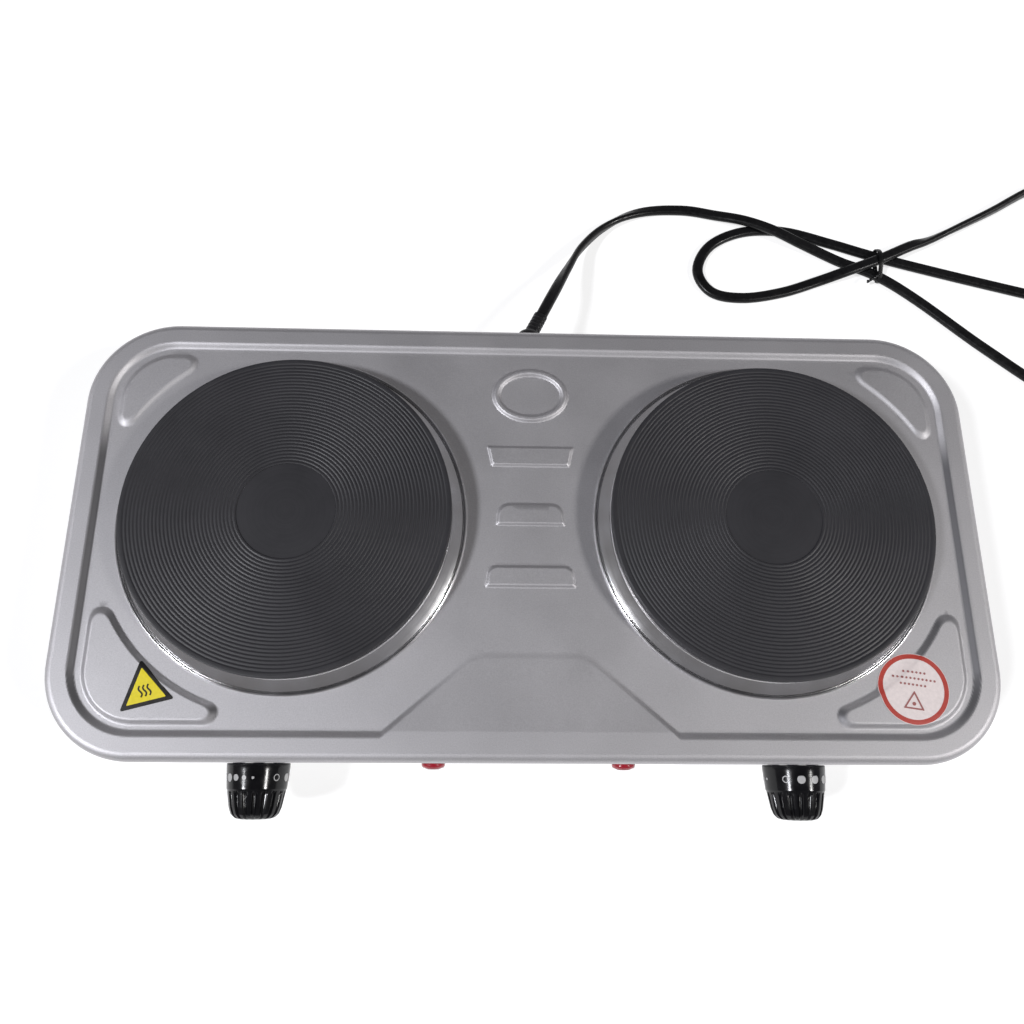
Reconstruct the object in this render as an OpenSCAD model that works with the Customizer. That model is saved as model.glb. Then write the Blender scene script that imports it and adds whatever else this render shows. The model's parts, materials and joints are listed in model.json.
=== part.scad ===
// Two-plate electric table cooker with cast-iron plates, a pressed steel housing,
// two rotary thermostats, two lamps and a flat twin mains cord tied in a hank.
// Origin: centre of the footprint (knobs included) on the table. +Z up, -Y is the knob side.

/* [Housing] */
// Length of the pressed top housing
housing_w = 518; // [510:1:530]
// Depth of the pressed top housing, front wall to back wall
housing_d = 252; // [248:1:256]
// Corner radius seen from above
corner_r = 50; // [46:1:54]
// Height of the raised border above the table
housing_top = 60; // [58:0.5:62]
// Thickness of the steel sheet
sheet_t = 0.8; // [0.7:0.1:1]
// Radius of the rolled top edge
edge_r = 5; // [4:0.5:6]
// Width of the raised border around the recessed field
border_w = 14.5; // [13:0.5:15]
// Depth of the recessed field below the border
field_drop = 2.2; // [1.8:0.1:2.6]
// Height of the rubber feet
foot_h = 9.7; // [9:0.1:10]

/* [Hot plates] */
// Diameter of each cast-iron plate
plate_d = 180; // [178:1:180]
// Distance between the two plate centres
plate_spacing = 268; // [266:1:270]
// How far the plate centres lie behind the middle of the housing
plate_offset = 5.5; // [4:0.5:6]
// Height of the cooking surface above the border
plate_proud = 16; // [15:0.5:17]

/* [Controls] */
// Distance between the two knob axes
knob_spacing = 295; // [290:1:300]
// Height of the knob axes above the table
knob_z = 33; // [32:0.5:34]
// How far the knobs stand out of the front wall
knob_reach = 29; // [28:0.5:30]
// Largest diameter of a knob
knob_d = 33.6; // [32:0.2:34]
// Distance between the two indicator lamps
lamp_spacing = 105; // [100:1:110]

/* [Cord] */
// Width of the flat mains cord
cord_w = 7; // [6.6:0.1:7.4]
// Thickness of the flat mains cord
cord_t = 4.4; // [4.2:0.1:4.6]
// Height of the strain relief above the table
gland_z = 40; // [38:1:42]

/* [Hidden] */
$fn = 96;

// Places
body_y = knob_reach / 2;                  // middle of the housing
front_y = body_y - housing_d / 2;         // outer face of the front wall
back_y = body_y + housing_d / 2;          // outer face of the back wall
plate_x = plate_spacing / 2;
plate_y = body_y + plate_offset;
knob_x = knob_spacing / 2;
lamp_x = lamp_spacing / 2;

// Levels
base_under = foot_h;
base_over = base_under + sheet_t;
skirt_z = base_under - 0.7;
field_z = housing_top - field_drop;
plate_z = housing_top + plate_proud;
shoulder_z = plate_z - 6;
pocket_z = plate_z - 6;
rim_z = plate_z - 16;

// Recessed field of the top sheet
field_w = housing_w - 2 * border_w;
field_d = housing_d - 2 * border_w;
field_r = corner_r - border_w;
trapezoid_h = 42;
trapezoid_top = 61;
trapezoid_base = 158;
emboss_h = 1.2;
pad_r = 112;
front_pad_r = 108.4;

// Round openings of the top sheet, and the trim rings that stand round them
plate_hole_r = 89;
neck_r = 88.4;
flare_z = 64;
flare_foot_r = 95.2;
lip_r = 97.6;
lip_h = 1.3;
ring_t = 0.6;

// Cast-iron plate
plate_r = plate_d / 2;
body_r = plate_r - 4.5;
pocket_r = body_r - 3.5;
hub_r = 13;
disc_r = 27;
stud_r = 3;
bridge_z = 50;
bridge_t = 1.5;
bridge_w = 22;
bridge_end = 98;
nut_h = 5;
tag_w = 6.3;
tag_t = 0.8;
tag_y = 7;
tag_low = 44;
terminal_low = 52;
terminal_x = -48;
coil_rings = [32, 49, 66];
coil_r = 2.5;
coil_z = pocket_z - 4;
ceramic_z = pocket_z - 8;

// Controls
shaft_r = 3;
bush_gap = 0.05;
screw_r = 2;
bracket_screw_x = 11;
stack_z = 15;
stack_r = 5.5;
rivet_head_r = 3.2;
contact_y = 11;
bimetal_y = 16;
strip_t = 0.8;
stack_end = 21;
lens_r = 6.5;
stem_r = 4.9;

// Fastener places
base_screw_xy = [for (x = [-195, 0, 195], s = [-1, 1]) [x, body_y + s * (housing_d / 2 - 8)]];
base_screw_r = 1.6;
foot_x = 205;
foot_y = 92;
foot_r = 13;
foot_recess_r = 5;
foot_seat_z = 4.2;
screw_head_h = 2.4;

// Mains entry: the moulded sleeve bends to the right and a little down
gland_turn = 24;
gland_dip = 11;
sleeve_len = 20;
block_y = 100;

// Route of the mains cord: x, y, height of its centre, roll of its flat section in degrees
cord_route = [
    [8, 163, 36, 0], [17, 184, 30, 0], [27, 208, 20, 50], [39, 233, 10, 90], [57, 254, 4, 80],
    [82, 267, 2.5, 20], [112, 270, 2.3, 0], [136, 266, 3, 0], [156, 260, 6.2, 0], [176, 252, 7, 0],
    [196, 243, 4.6, 0], [222, 231, 2.3, 0], [248, 219, 3.4, 0], [275, 201, 2.3, 0],
    [318, 164, 2.3, 0], [360, 133, 2.3, 0], [390, 130, 2.3, 0], [411, 150, 2.3, 0],
    [410, 178, 2.3, 0], [388, 200, 2.3, 0], [354, 208, 2.3, 0], [302, 221, 2.3, 0],
    [250, 234, 3.4, 0], [218, 245, 2.3, 0], [185, 254, 2.3, 0], [155, 253, 2.3, 0],
    [131, 241, 2.3, 0], [121, 221, 2.3, 0], [130, 204, 2.3, 0], [152, 200, 2.3, 0],
    [180, 205, 2.3, 0], [206, 214, 3.2, 0], [225, 220, 7, 0], [250, 230, 8, 0],
    [274, 242, 6.6, 0], [294, 251, 3.6, 60], [336, 273, 3.6, 90], [378, 296, 3.6, 90],
    [412, 296, 3, 20], [429, 277, 5, 0], [432, 252, 8.5, 0]
];
plug_place = [432, 252, 8.5];
tie_x = 249;
tie_y = 226.5;

// ---- helpers -------------------------------------------------------------

module rounded_rect(w, d, r) {
    square([w - 2 * r, d], center = true);
    square([w, d - 2 * r], center = true);
    for (x = [-1, 1], y = [-1, 1]) translate([x * (w / 2 - r), y * (d / 2 - r)]) circle(r);
}

module slot(w, length) {
    square([w, length - w], center = true);
    for (y = [-1, 1]) translate([0, y * (length - w) / 2]) circle(w / 2);
}

// Carries a profile (x outward from the outline, y up) around a rounded rectangle
module along_outline(w, d, r) {
    for (i = [0 : 3]) {
        long = i % 2 == 0 ? d : w;
        reach = i % 2 == 0 ? w / 2 : d / 2;
        rotate(90 * i) {
            translate([reach, 0, 0]) rotate([90, 0, 0])
                linear_extrude(height = long - 2 * r, center = true) children();
            translate([reach - r, long / 2 - r, 0])
                rotate_extrude(angle = 90) translate([r, 0]) children();
        }
    }
}

// Turns a solid of revolution about Z into one about Y that points out of the front wall
module out_of_front(x, z) {
    translate([x, front_y, z]) rotate([90, 0, 0]) children();
}

module at_plate() {
    translate([plate_x, plate_y, 0]) children();
}

module both_sides() {
    children();
    mirror([1, 0, 0]) children();
}

function xyz(p) = [p[0], p[1], p[2]];
function unit(v) = v / norm(v);
function heading(path, i) = unit(xyz(path[min(i + 1, len(path) - 1)]) - xyz(path[max(i - 1, 0)]));

// One value between b and c on a smooth curve through a, b, c and d
function curve(a, b, c, d, t) =
    b + (c - a) * t / 2 + (2 * a - 5 * b + 4 * c - d) * t * t / 2 + (3 * b - a - 3 * c + d) * t * t * t / 2;

// Route with steps points to each stretch
function smooth(route, steps) = let (n = len(route)) [
    for (i = [0 : n - 2], k = [0 : steps - 1])
        curve(route[max(i - 1, 0)], route[i], route[i + 1], route[min(i + 2, n - 1)], k / steps),
    route[n - 1]
];

// Section points carried to point i of a path and rolled by the path's fourth value
function placed_ring(path, i, section) = let (
    t = heading(path, i),
    side = unit(cross(t, [0, 0, 1])),
    up = cross(side, t),
    a = path[i][3]
) [for (q = section)
    xyz(path[i]) + (q.x * cos(a) - q.y * sin(a)) * side + (q.x * sin(a) + q.y * cos(a)) * up];

function round_section(r, n) = [for (k = [0 : n - 1]) r * [cos(360 * k / n), sin(360 * k / n)]];
function flat_section(w, t) = let (r = t / 2, e = (w - t) / 2) [
    for (k = [0 : 4]) [e + r * sin(45 * k), -r * cos(45 * k)],
    for (k = [0 : 4]) [-e - r * sin(45 * k), r * cos(45 * k)]
];

module swept(path, section) {
    n = len(section);
    m = len(path);
    points = [for (i = [0 : m - 1]) each placed_ring(path, i, section)];
    sides = [for (i = [0 : m - 2], k = [0 : n - 1]) let (
        a = i * n + k,
        b = i * n + (k + 1) % n
    ) each [[a, b, b + n], [a, b + n, a + n]]];
    near_end = [for (k = [0 : n - 1]) n - 1 - k];
    far_end = [for (k = [0 : n - 1]) (m - 1) * n + k];
    polyhedron(points, [near_end, each sides, far_end]);
}

// Keeps a lying flat cord on the table, whatever its roll
function rested(path) = [for (p = path)
    [p[0], p[1], max(p[2], cord_t / 2 + (cord_w - cord_t) / 2 * abs(sin(p[3]))), p[3]]];

module lead(route, r) {
    swept(smooth([for (p = route) [p[0], p[1], p[2], 0]], 3), round_section(r, 8));
}

// ---- housing -------------------------------------------------------------

module edge_profile() {
    bend_z = housing_top - edge_r;
    difference() {
        union() {
            translate([-edge_r, skirt_z]) square([edge_r, bend_z - skirt_z]);
            intersection() {
                translate([-edge_r, bend_z]) circle(edge_r);
                translate([-edge_r, bend_z]) square(edge_r);
            }
        }
        translate([-edge_r - 1, skirt_z - 1]) square([edge_r + 1 - sheet_t, bend_z - skirt_z + 1]);
        translate([-edge_r, bend_z]) circle(edge_r - sheet_t);
    }
}

// Raised tongue of the border that reaches into the field at the front
module trapezoid(shrink) {
    lean = (trapezoid_base - trapezoid_top) / 2 / trapezoid_h;
    side = shrink * sqrt(1 + lean * lean) - shrink * lean;
    low = -field_d / 2 - 3;
    high = -field_d / 2 + trapezoid_h - shrink;
    top = trapezoid_top / 2 - side;
    base = top + lean * (high - low);
    polygon([[-base, low], [base, low], [top, high], [-top, high]]);
}

module field_outline(grow) {
    difference() {
        rounded_rect(field_w + 2 * grow, field_d + 2 * grow, field_r + grow);
        trapezoid(grow);
    }
}

module sheet_at(z, t) {
    translate([0, body_y, z - t]) linear_extrude(height = t) children();
}

// Corner pad that follows the field's corner outside and the plate inside
module corner_pad(front) {
    inset = 6.5;
    difference() {
        intersection() {
            rounded_rect(field_w - 2 * inset, field_d - 2 * inset, field_r - inset);
            if (front) translate([167, -housing_d / 2]) square([90, housing_d / 2 - 46.5]);
            else translate([198, 60.5]) square([60, 60]);
        }
        translate([plate_x, plate_offset]) circle(front ? front_pad_r : pad_r);
    }
}

module oval(a, b) {
    polygon([for (k = [0 : 35]) [a * cos(10 * k), b * sin(10 * k)]]);
}

module embossings() {
    for (front = [true, false]) {
        corner_pad(front);
        mirror([1, 0]) corner_pad(front);
    }
    translate([0, 83.5]) difference() {
        oval(22.5, 17.2);
        oval(17.8, 12.4);
    }
    translate([0, 45]) polygon([[-22, -5.5], [22, -5.5], [24.5, 5.5], [-24.5, 5.5]]);
    translate([0, 9.5]) rounded_rect(38, 13, 5);
    translate([0, -26]) polygon([[-24.6, -5.6], [24.6, -5.6], [23, 5.6], [-23, 5.6]]);
}

module top_housing() {
    color("silver") difference() {
        union() {
            translate([0, body_y, 0]) along_outline(housing_w, housing_d, corner_r) edge_profile();
            sheet_at(housing_top, sheet_t) difference() {
                rounded_rect(housing_w - 2 * edge_r, housing_d - 2 * edge_r, corner_r - edge_r);
                field_outline(sheet_t / 2);
                both_sides() translate([plate_x, plate_offset]) circle(plate_hole_r);
            }
            sheet_at(housing_top, field_drop + sheet_t) difference() {
                field_outline(sheet_t);
                field_outline(0);
                both_sides() translate([plate_x, plate_offset]) circle(plate_hole_r);
            }
            sheet_at(field_z, sheet_t) difference() {
                field_outline(sheet_t);
                both_sides() translate([plate_x, plate_offset]) circle(plate_hole_r);
            }
            sheet_at(field_z + emboss_h, emboss_h) embossings();
            for (p = base_screw_xy) {
                s = sign(p.y - body_y);
                translate([p.x - 8, p.y - (s > 0 ? 8 : 7.4), base_over]) cube([16, 15.4, sheet_t]);
            }
        }
        both_sides() {
            out_of_front(knob_x, knob_z) cylinder(r = 5, h = 8, center = true);
            for (x = [-1, 1]) out_of_front(knob_x + x * bracket_screw_x, knob_z)
                cylinder(r = screw_r, h = 8, center = true);
            out_of_front(lamp_x, knob_z) cylinder(r = 5, h = 8, center = true);
        }
        translate([0, back_y, gland_z]) rotate([90, 0, 0]) cylinder(r = 5.5, h = 8, center = true);
        for (p = base_screw_xy) translate([p.x, p.y, base_over - 1]) cylinder(r = base_screw_r, h = 3);
    }
}

module base_plate() {
    gap = sheet_t + 0.4;
    color("gainsboro") difference() {
        sheet_at(base_over, sheet_t)
            rounded_rect(housing_w - 2 * gap, housing_d - 2 * gap, corner_r - gap);
        for (p = base_screw_xy) translate([p.x, p.y, base_under - 1]) cylinder(r = base_screw_r, h = 3);
        for (x = [-1, 1], y = [-1, 1])
            translate([x * foot_x, body_y + y * foot_y, base_under - 1]) cylinder(r = screw_r, h = 3);
        for (x = [-1, 1], k = [-3 : 3])
            translate([x * plate_x + 14 * k, plate_y, base_under - 1]) linear_extrude(height = 3)
                slot(5, 60);
    }
}

module base_screws() {
    color("dimgray") for (p = base_screw_xy) translate([p.x, p.y, 0]) {
        translate([0, 0, base_under - 2]) cylinder(r = 2 * base_screw_r, h = 2);
        translate([0, 0, base_under - 2]) cylinder(r = base_screw_r, h = 8);
    }
}

module foot(x, y) {
    color("black") translate([x * foot_x, body_y + y * foot_y, 0]) rotate_extrude() polygon([
        [foot_recess_r, 0], [foot_r - 2, 0], [foot_r - 1.4, 0.6], [foot_r, base_under],
        [screw_r, base_under], [screw_r, foot_seat_z], [foot_recess_r, foot_seat_z]
    ]);
}

module foot_screws() {
    color("dimgray") for (x = [-1, 1], y = [-1, 1])
        translate([x * foot_x, body_y + y * foot_y, 0]) {
            translate([0, 0, foot_seat_z - screw_head_h]) {
                cylinder(r = foot_recess_r - 1, h = screw_head_h);
                cylinder(r = screw_r, h = 12);
            }
        }
}

// ---- hot plate -----------------------------------------------------------

module hot_plate() {
    color([0.2, 0.2, 0.22]) at_plate() rotate_extrude() polygon([
        [0, plate_z - 4], [stud_r, plate_z - 4], [stud_r, rim_z], [hub_r, rim_z], [hub_r, pocket_z],
        [pocket_r, pocket_z], [pocket_r, rim_z], [body_r, rim_z], [body_r, shoulder_z],
        [plate_r, shoulder_z], [plate_r, plate_z - 1], [plate_r - 1, plate_z],
        [disc_r + 0.6, plate_z], [disc_r, plate_z - 0.6], [0, plate_z - 0.6]
    ]);
}

module trim_ring() {
    color("lightgray") at_plate() rotate_extrude() polygon([
        [body_r + 0.5, shoulder_z - ring_t], [neck_r - ring_t, shoulder_z - ring_t],
        [neck_r - ring_t, flare_z - ring_t / 2], [flare_foot_r - 0.4, field_z], [lip_r, field_z],
        [lip_r, field_z + lip_h], [lip_r - 1, field_z + lip_h], [lip_r - 1.4, field_z + ring_t],
        [flare_foot_r, field_z + ring_t], [neck_r, flare_z], [neck_r, shoulder_z],
        [body_r + 0.5, shoulder_z]
    ]);
}

module coil_ceramic() {
    color("ivory") at_plate() rotate_extrude() difference() {
        translate([hub_r, ceramic_z]) square([pocket_r - hub_r, pocket_z - ceramic_z]);
        for (r = coil_rings) {
            translate([r, coil_z]) circle(coil_r);
            translate([r - coil_r, ceramic_z - 1]) square([2 * coil_r, coil_z - ceramic_z + 1]);
        }
    }
}

module heating_coil() {
    color("slategray") at_plate() rotate_extrude() for (r = coil_rings) translate([r, coil_z]) circle(coil_r);
}

module plate_pan() {
    color("lightgray") at_plate() difference() {
        translate([0, 0, rim_z - sheet_t]) cylinder(r = body_r - 1.5, h = sheet_t);
        translate([0, 0, rim_z - 2]) cylinder(r = stud_r + 0.2, h = 4);
        translate([terminal_x, 0, rim_z]) cube([14.6, 26.6, 6], center = true);
    }
}

module plate_stud() {
    color("dimgray") at_plate() translate([0, 0, bridge_z - 7]) cylinder(r = stud_r, h = plate_z - bridge_z + 3);
}

module plate_bridge() {
    under = field_z - sheet_t;
    color("lightgray") at_plate() difference() {
        rotate([90, 0, 90]) linear_extrude(height = bridge_w, center = true) polygon([
            [-bridge_end, under], [-bridge_end, under - bridge_t],
            [-plate_r - bridge_t, under - bridge_t], [-plate_r - bridge_t, bridge_z],
            [plate_r + bridge_t, bridge_z], [plate_r + bridge_t, under - bridge_t],
            [bridge_end, under - bridge_t], [bridge_end, under],
            [plate_r, under], [plate_r, bridge_z + bridge_t],
            [-plate_r, bridge_z + bridge_t], [-plate_r, under]
        ]);
        translate([0, 0, bridge_z - 1]) cylinder(r = stud_r + 0.2, h = 4);
    }
}

module plate_nut() {
    color("dimgray") at_plate() translate([0, 0, bridge_z - nut_h]) difference() {
        cylinder(d = 10 / cos(30), h = nut_h, $fn = 6);
        translate([0, 0, -1]) cylinder(r = stud_r, h = nut_h + 2);
    }
}

module terminal_ceramic() {
    color("ivory") at_plate() translate([terminal_x, 0, (ceramic_z + terminal_low) / 2]) difference() {
        cube([14, 26, ceramic_z - terminal_low], center = true);
        for (y = [-tag_y, tag_y]) translate([0, y, 0]) cube([tag_t, tag_w, 40], center = true);
    }
}

module plate_tag_pair() {
    color("gold") at_plate() for (y = [-tag_y, tag_y])
        translate([terminal_x, y, (ceramic_z + tag_low) / 2])
            cube([tag_t, tag_w, ceramic_z - tag_low], center = true);
}

// ---- thermostat, knob and lamp --------------------------------------------

// Local frame of the thermostat: origin on the shaft axis at the wall's outer face, +Y inward
module at_knob() {
    translate([knob_x, front_y, knob_z]) children();
}

module shaft_cylinder(r, from, to) {
    translate([0, from, 0]) rotate([-90, 0, 0]) cylinder(r = r, h = to - from);
}

module thermostat_bracket() {
    color("lightgray") at_knob() difference() {
        union() {
            translate([-15, sheet_t, -11]) cube([30, 1.5, 33]);
            shaft_cylinder(6, sheet_t, 9);
            for (x = [-15, 14]) translate([x, sheet_t, -11]) cube([1, 12, 33]);
        }
        shaft_cylinder(shaft_r + bush_gap, 0, 12);
        for (x = [-1, 1]) translate([x * bracket_screw_x, 0, 0]) shaft_cylinder(screw_r, 0, 12);
        translate([0, 0, stack_z]) shaft_cylinder(screw_r, 0, 12);
    }
}

module thermostat_screw_pair() {
    color("dimgray") at_knob() for (x = [-1, 1]) translate([x * bracket_screw_x, 0, 0]) {
        shaft_cylinder(rivet_head_r, -1.8, 0);
        shaft_cylinder(screw_r, -1.8, 6);
    }
}

// Ceramic washers with the two strips clamped between them
module thermostat_stack() {
    color("ivory") at_knob() translate([0, 0, stack_z]) difference() {
        shaft_cylinder(stack_r, sheet_t + 1.5, contact_y);
        shaft_cylinder(stack_r, contact_y + strip_t, bimetal_y);
        shaft_cylinder(stack_r, bimetal_y + strip_t, stack_end);
        shaft_cylinder(screw_r, 0, 24);
    }
}

module thermostat_rivet() {
    color("dimgray") at_knob() translate([0, 0, stack_z]) {
        shaft_cylinder(screw_r, sheet_t, stack_end);
        shaft_cylinder(rivet_head_r, stack_end, stack_end + 1.5);
    }
}

module strip(y, low, high, w) {
    at_knob() difference() {
        translate([-w / 2, y, low]) cube([w, strip_t, high - low]);
        translate([0, 0, stack_z]) shaft_cylinder(screw_r, y - 1, y + 2);
    }
}

module contact_strip() {
    color("goldenrod") strip(contact_y, -6, 22.5, 8);
}

module bimetal_strip() {
    color("darkgoldenrod") strip(bimetal_y, -8, 22.5, 9);
}

module thermostat_shaft() {
    color("lightgray") at_knob() difference() {
        shaft_cylinder(shaft_r, -24, 10.5);
        translate([-5, -25, 2.2]) cube([10, 17, 5]);
    }
}

module knob() {
    r = knob_d / 2;
    color([0.04, 0.04, 0.05]) out_of_front(knob_x, knob_z) difference() {
        rotate_extrude() polygon([
            [0, 24], [shaft_r, 24], [shaft_r, 3], [6, 3], [6, 5.5], [r - 2.2, 5.5], [r - 2, 0.8],
            [r, 0.8], [r, 2.4], [r - 1, 13.6], [r - 1.4, 14.2], [r - 3, 23], [r - 4.2, 26.3],
            [r - 6.2, 28.3], [r - 8.6, knob_reach], [0, knob_reach]
        ]);
        for (k = [0 : 17]) rotate(20 * k + 10) translate([r - 1.5, 0, 15]) cylinder(r = 1.3, h = 20);
    }
}

module lamp_lens() {
    color("crimson") out_of_front(lamp_x, knob_z) rotate_extrude() polygon([
        [0, -6], [stem_r, -6], [stem_r, 0], [lens_r, 0], [lens_r, 1.4], [5.6, 2.6], [3.6, 3.3], [0, 3.5]
    ]);
}

module lamp_body() {
    color("white") out_of_front(lamp_x, knob_z) translate([0, 0, -24]) cylinder(r = stem_r, h = 18);
}

module lamp_clip() {
    color("lightgray") out_of_front(lamp_x, knob_z) translate([0, 0, -sheet_t - 0.8]) difference() {
        cylinder(r = 8.5, h = 0.8);
        translate([0, 0, -1]) cylinder(r = stem_r, h = 3);
    }
}

// ---- mains entry and wiring ------------------------------------------------

module terminal_block() {
    color("white") difference() {
        translate([-13, block_y - 9, base_over]) cube([26, 18, 14]);
        for (x = [-6, 6]) translate([x, block_y, base_over + 10]) cylinder(r = 1.8, h = 6);
    }
}

module terminal_screws() {
    color("gold") for (x = [-6, 6]) translate([x, block_y, base_over + 10]) cylinder(r = 1.8, h = 3);
}

module inner_cord() {
    color("black") lead([
        [0, back_y - 3.8, gland_z], [0, back_y - 8, gland_z - 0.5], [0, back_y - 14, gland_z - 6],
        [0, back_y - 19, gland_z - 15], [0, block_y + 15, gland_z - 22],
        [0, block_y + 12, gland_z - 22], [0, block_y + 9.1, gland_z - 22]
    ], 3);
}

module supply_lead() {
    color("firebrick") lead([
        [6, block_y - 9, 17], [6, block_y - 16, 16.5], [14, 45, 13.5], [45, -10, 13], [95, -58, 13],
        [knob_x + 2, -78, 16], [knob_x + 10.5, -84, 30], [knob_x + 10.5, -92, 45],
        [knob_x + 8, -99, 53], [knob_x + 4, -100.1, 53.5]
    ], 1.2);
}

module plate_lead() {
    color("firebrick") lead([
        [knob_x - 4.5, -95.1, 53.5], [knob_x - 8, -94.5, 53], [knob_x - 13, -84, 45], [114, -60, 37],
        [98, -24, 34], [plate_x + terminal_x - 6, 4, 38], [plate_x + terminal_x - 4, 12, 46],
        [plate_x + terminal_x - 0.4, 13, 47]
    ], 1.2);
}

module lamp_lead() {
    color("firebrick") lead([
        [lamp_x, front_y + 24, knob_z], [lamp_x, front_y + 30, knob_z - 0.5], [47, -60, 27],
        [30, -10, 23], [16, 50, 22], [10, block_y - 16, 21], [10, block_y - 9, 21]
    ], 1.2);
}

// Moulded bush: clamped in the back wall, domed outside, with a tapered sleeve on the cord
module strain_relief() {
    color([0.05, 0.05, 0.05]) translate([0, back_y, gland_z]) {
        rotate([-90, 0, 0]) rotate_extrude() polygon([
            [0, -3.8], [7.5, -3.8], [8, -3], [8, -sheet_t], [5.5, -sheet_t], [5.5, 0],
            [7.6, 0], [7.6, 6.5], [7, 8], [5.6, 9], [0, 9]
        ]);
        translate([0, 5, 0]) rotate([-90 - gland_dip, 0, -gland_turn])
            cylinder(r1 = 5.2, r2 = 3.9, h = sleeve_len);
    }
}

module mains_cord() {
    color([0.06, 0.06, 0.06]) swept(rested(smooth(cord_route, 2)), flat_section(cord_w, cord_t));
}

// Twist tie around the three strands of the hank, standing on the table
module cord_tie() {
    color([0.1, 0.1, 0.1]) translate([tie_x, tie_y, 5.8]) rotate([90, 0, 90])
        linear_extrude(height = 3, center = true) difference() {
            rounded_rect(26, 11.6, 5);
            rounded_rect(24, 9.4, 4);
        }
}

module plug_body() {
    color([0.06, 0.06, 0.06]) translate(plug_place) rotate([90, 0, 0]) {
        cylinder(r1 = 3.9, r2 = 5.4, h = 22);
        translate([0, 0, 22]) linear_extrude(height = 26) rounded_rect(24, 17, 5);
    }
}

module plug_blades() {
    color("gold") translate(plug_place) for (x = [-6.35, 6.35])
        translate([x, -48 - 8, 0]) cube([1.5, 16, 6.3], center = true);
}

// ---- labels ----------------------------------------------------------------

// Film that lies on a corner pad and on the field beside it
module label_film() {
    film_t = 0.2;
    pad_z = field_z + emboss_h;
    at_plate() rotate_extrude() polygon([
        [lip_r + 1, field_z], [front_pad_r, field_z], [front_pad_r, pad_z], [pad_r + 40, pad_z],
        [pad_r + 40, pad_z + film_t], [front_pad_r - film_t, pad_z + film_t],
        [front_pad_r - film_t, field_z + film_t], [lip_r + 1, field_z + film_t]
    ]);
}

module caution_label_left() {
    color("yellow") intersection() {
        mirror([1, 0, 0]) label_film();
        translate([-203.7, -75, field_z - 1]) rotate(14.5) linear_extrude(height = 5)
            polygon([for (a = [90, 210, 330]) 16.4 * [cos(a), sin(a)]]);
    }
}

module caution_label_right() {
    color("mistyrose") intersection() {
        label_film();
        translate([208, -71.8, field_z - 1]) cylinder(r = 19.2, h = 5);
    }
}

// ---- parts -----------------------------------------------------------------

top_housing();
base_plate();
base_screws();
foot(-1, -1);  // foot_front_left
foot(1, -1);  // foot_front_right
foot(-1, 1);  // foot_rear_left
foot(1, 1);  // foot_rear_right
foot_screws();
mirror([1, 0, 0]) hot_plate();  // hot_plate_left
hot_plate();  // hot_plate_right
mirror([1, 0, 0]) trim_ring();  // trim_ring_left
trim_ring();  // trim_ring_right
mirror([1, 0, 0]) heating_coil();  // heating_coil_left
heating_coil();  // heating_coil_right
mirror([1, 0, 0]) coil_ceramic();  // coil_ceramic_left
coil_ceramic();  // coil_ceramic_right
mirror([1, 0, 0]) plate_pan();  // plate_pan_left
plate_pan();  // plate_pan_right
both_sides() plate_stud();  // plate_studs
mirror([1, 0, 0]) plate_bridge();  // plate_bridge_left
plate_bridge();  // plate_bridge_right
both_sides() plate_nut();  // plate_nuts
mirror([1, 0, 0]) terminal_ceramic();  // terminal_ceramic_left
terminal_ceramic();  // terminal_ceramic_right
both_sides() plate_tag_pair();  // plate_tags
mirror([1, 0, 0]) thermostat_bracket();  // thermostat_bracket_left
thermostat_bracket();  // thermostat_bracket_right
both_sides() thermostat_screw_pair();  // thermostat_screws
mirror([1, 0, 0]) thermostat_stack();  // thermostat_stack_left
thermostat_stack();  // thermostat_stack_right
both_sides() thermostat_rivet();  // thermostat_rivets
mirror([1, 0, 0]) bimetal_strip();  // bimetal_strip_left
bimetal_strip();  // bimetal_strip_right
mirror([1, 0, 0]) contact_strip();  // contact_strip_left
contact_strip();  // contact_strip_right
mirror([1, 0, 0]) thermostat_shaft();  // thermostat_shaft_left
thermostat_shaft();  // thermostat_shaft_right
mirror([1, 0, 0]) knob();  // knob_left
knob();  // knob_right
mirror([1, 0, 0]) lamp_lens();  // lamp_lens_left
lamp_lens();  // lamp_lens_right
mirror([1, 0, 0]) lamp_body();  // lamp_body_left
lamp_body();  // lamp_body_right
both_sides() lamp_clip();  // lamp_clips
terminal_block();
terminal_screws();
inner_cord();
both_sides() supply_lead();  // supply_leads
both_sides() plate_lead();  // plate_leads
both_sides() lamp_lead();  // lamp_leads
strain_relief();
mains_cord();
cord_tie();
plug_body();
plug_blades();
caution_label_left();
caution_label_right();
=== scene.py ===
import json
import math

import bpy
import numpy as np
from mathutils import Matrix, Vector
from mathutils.geometry import delaunay_2d_cdt


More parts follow.
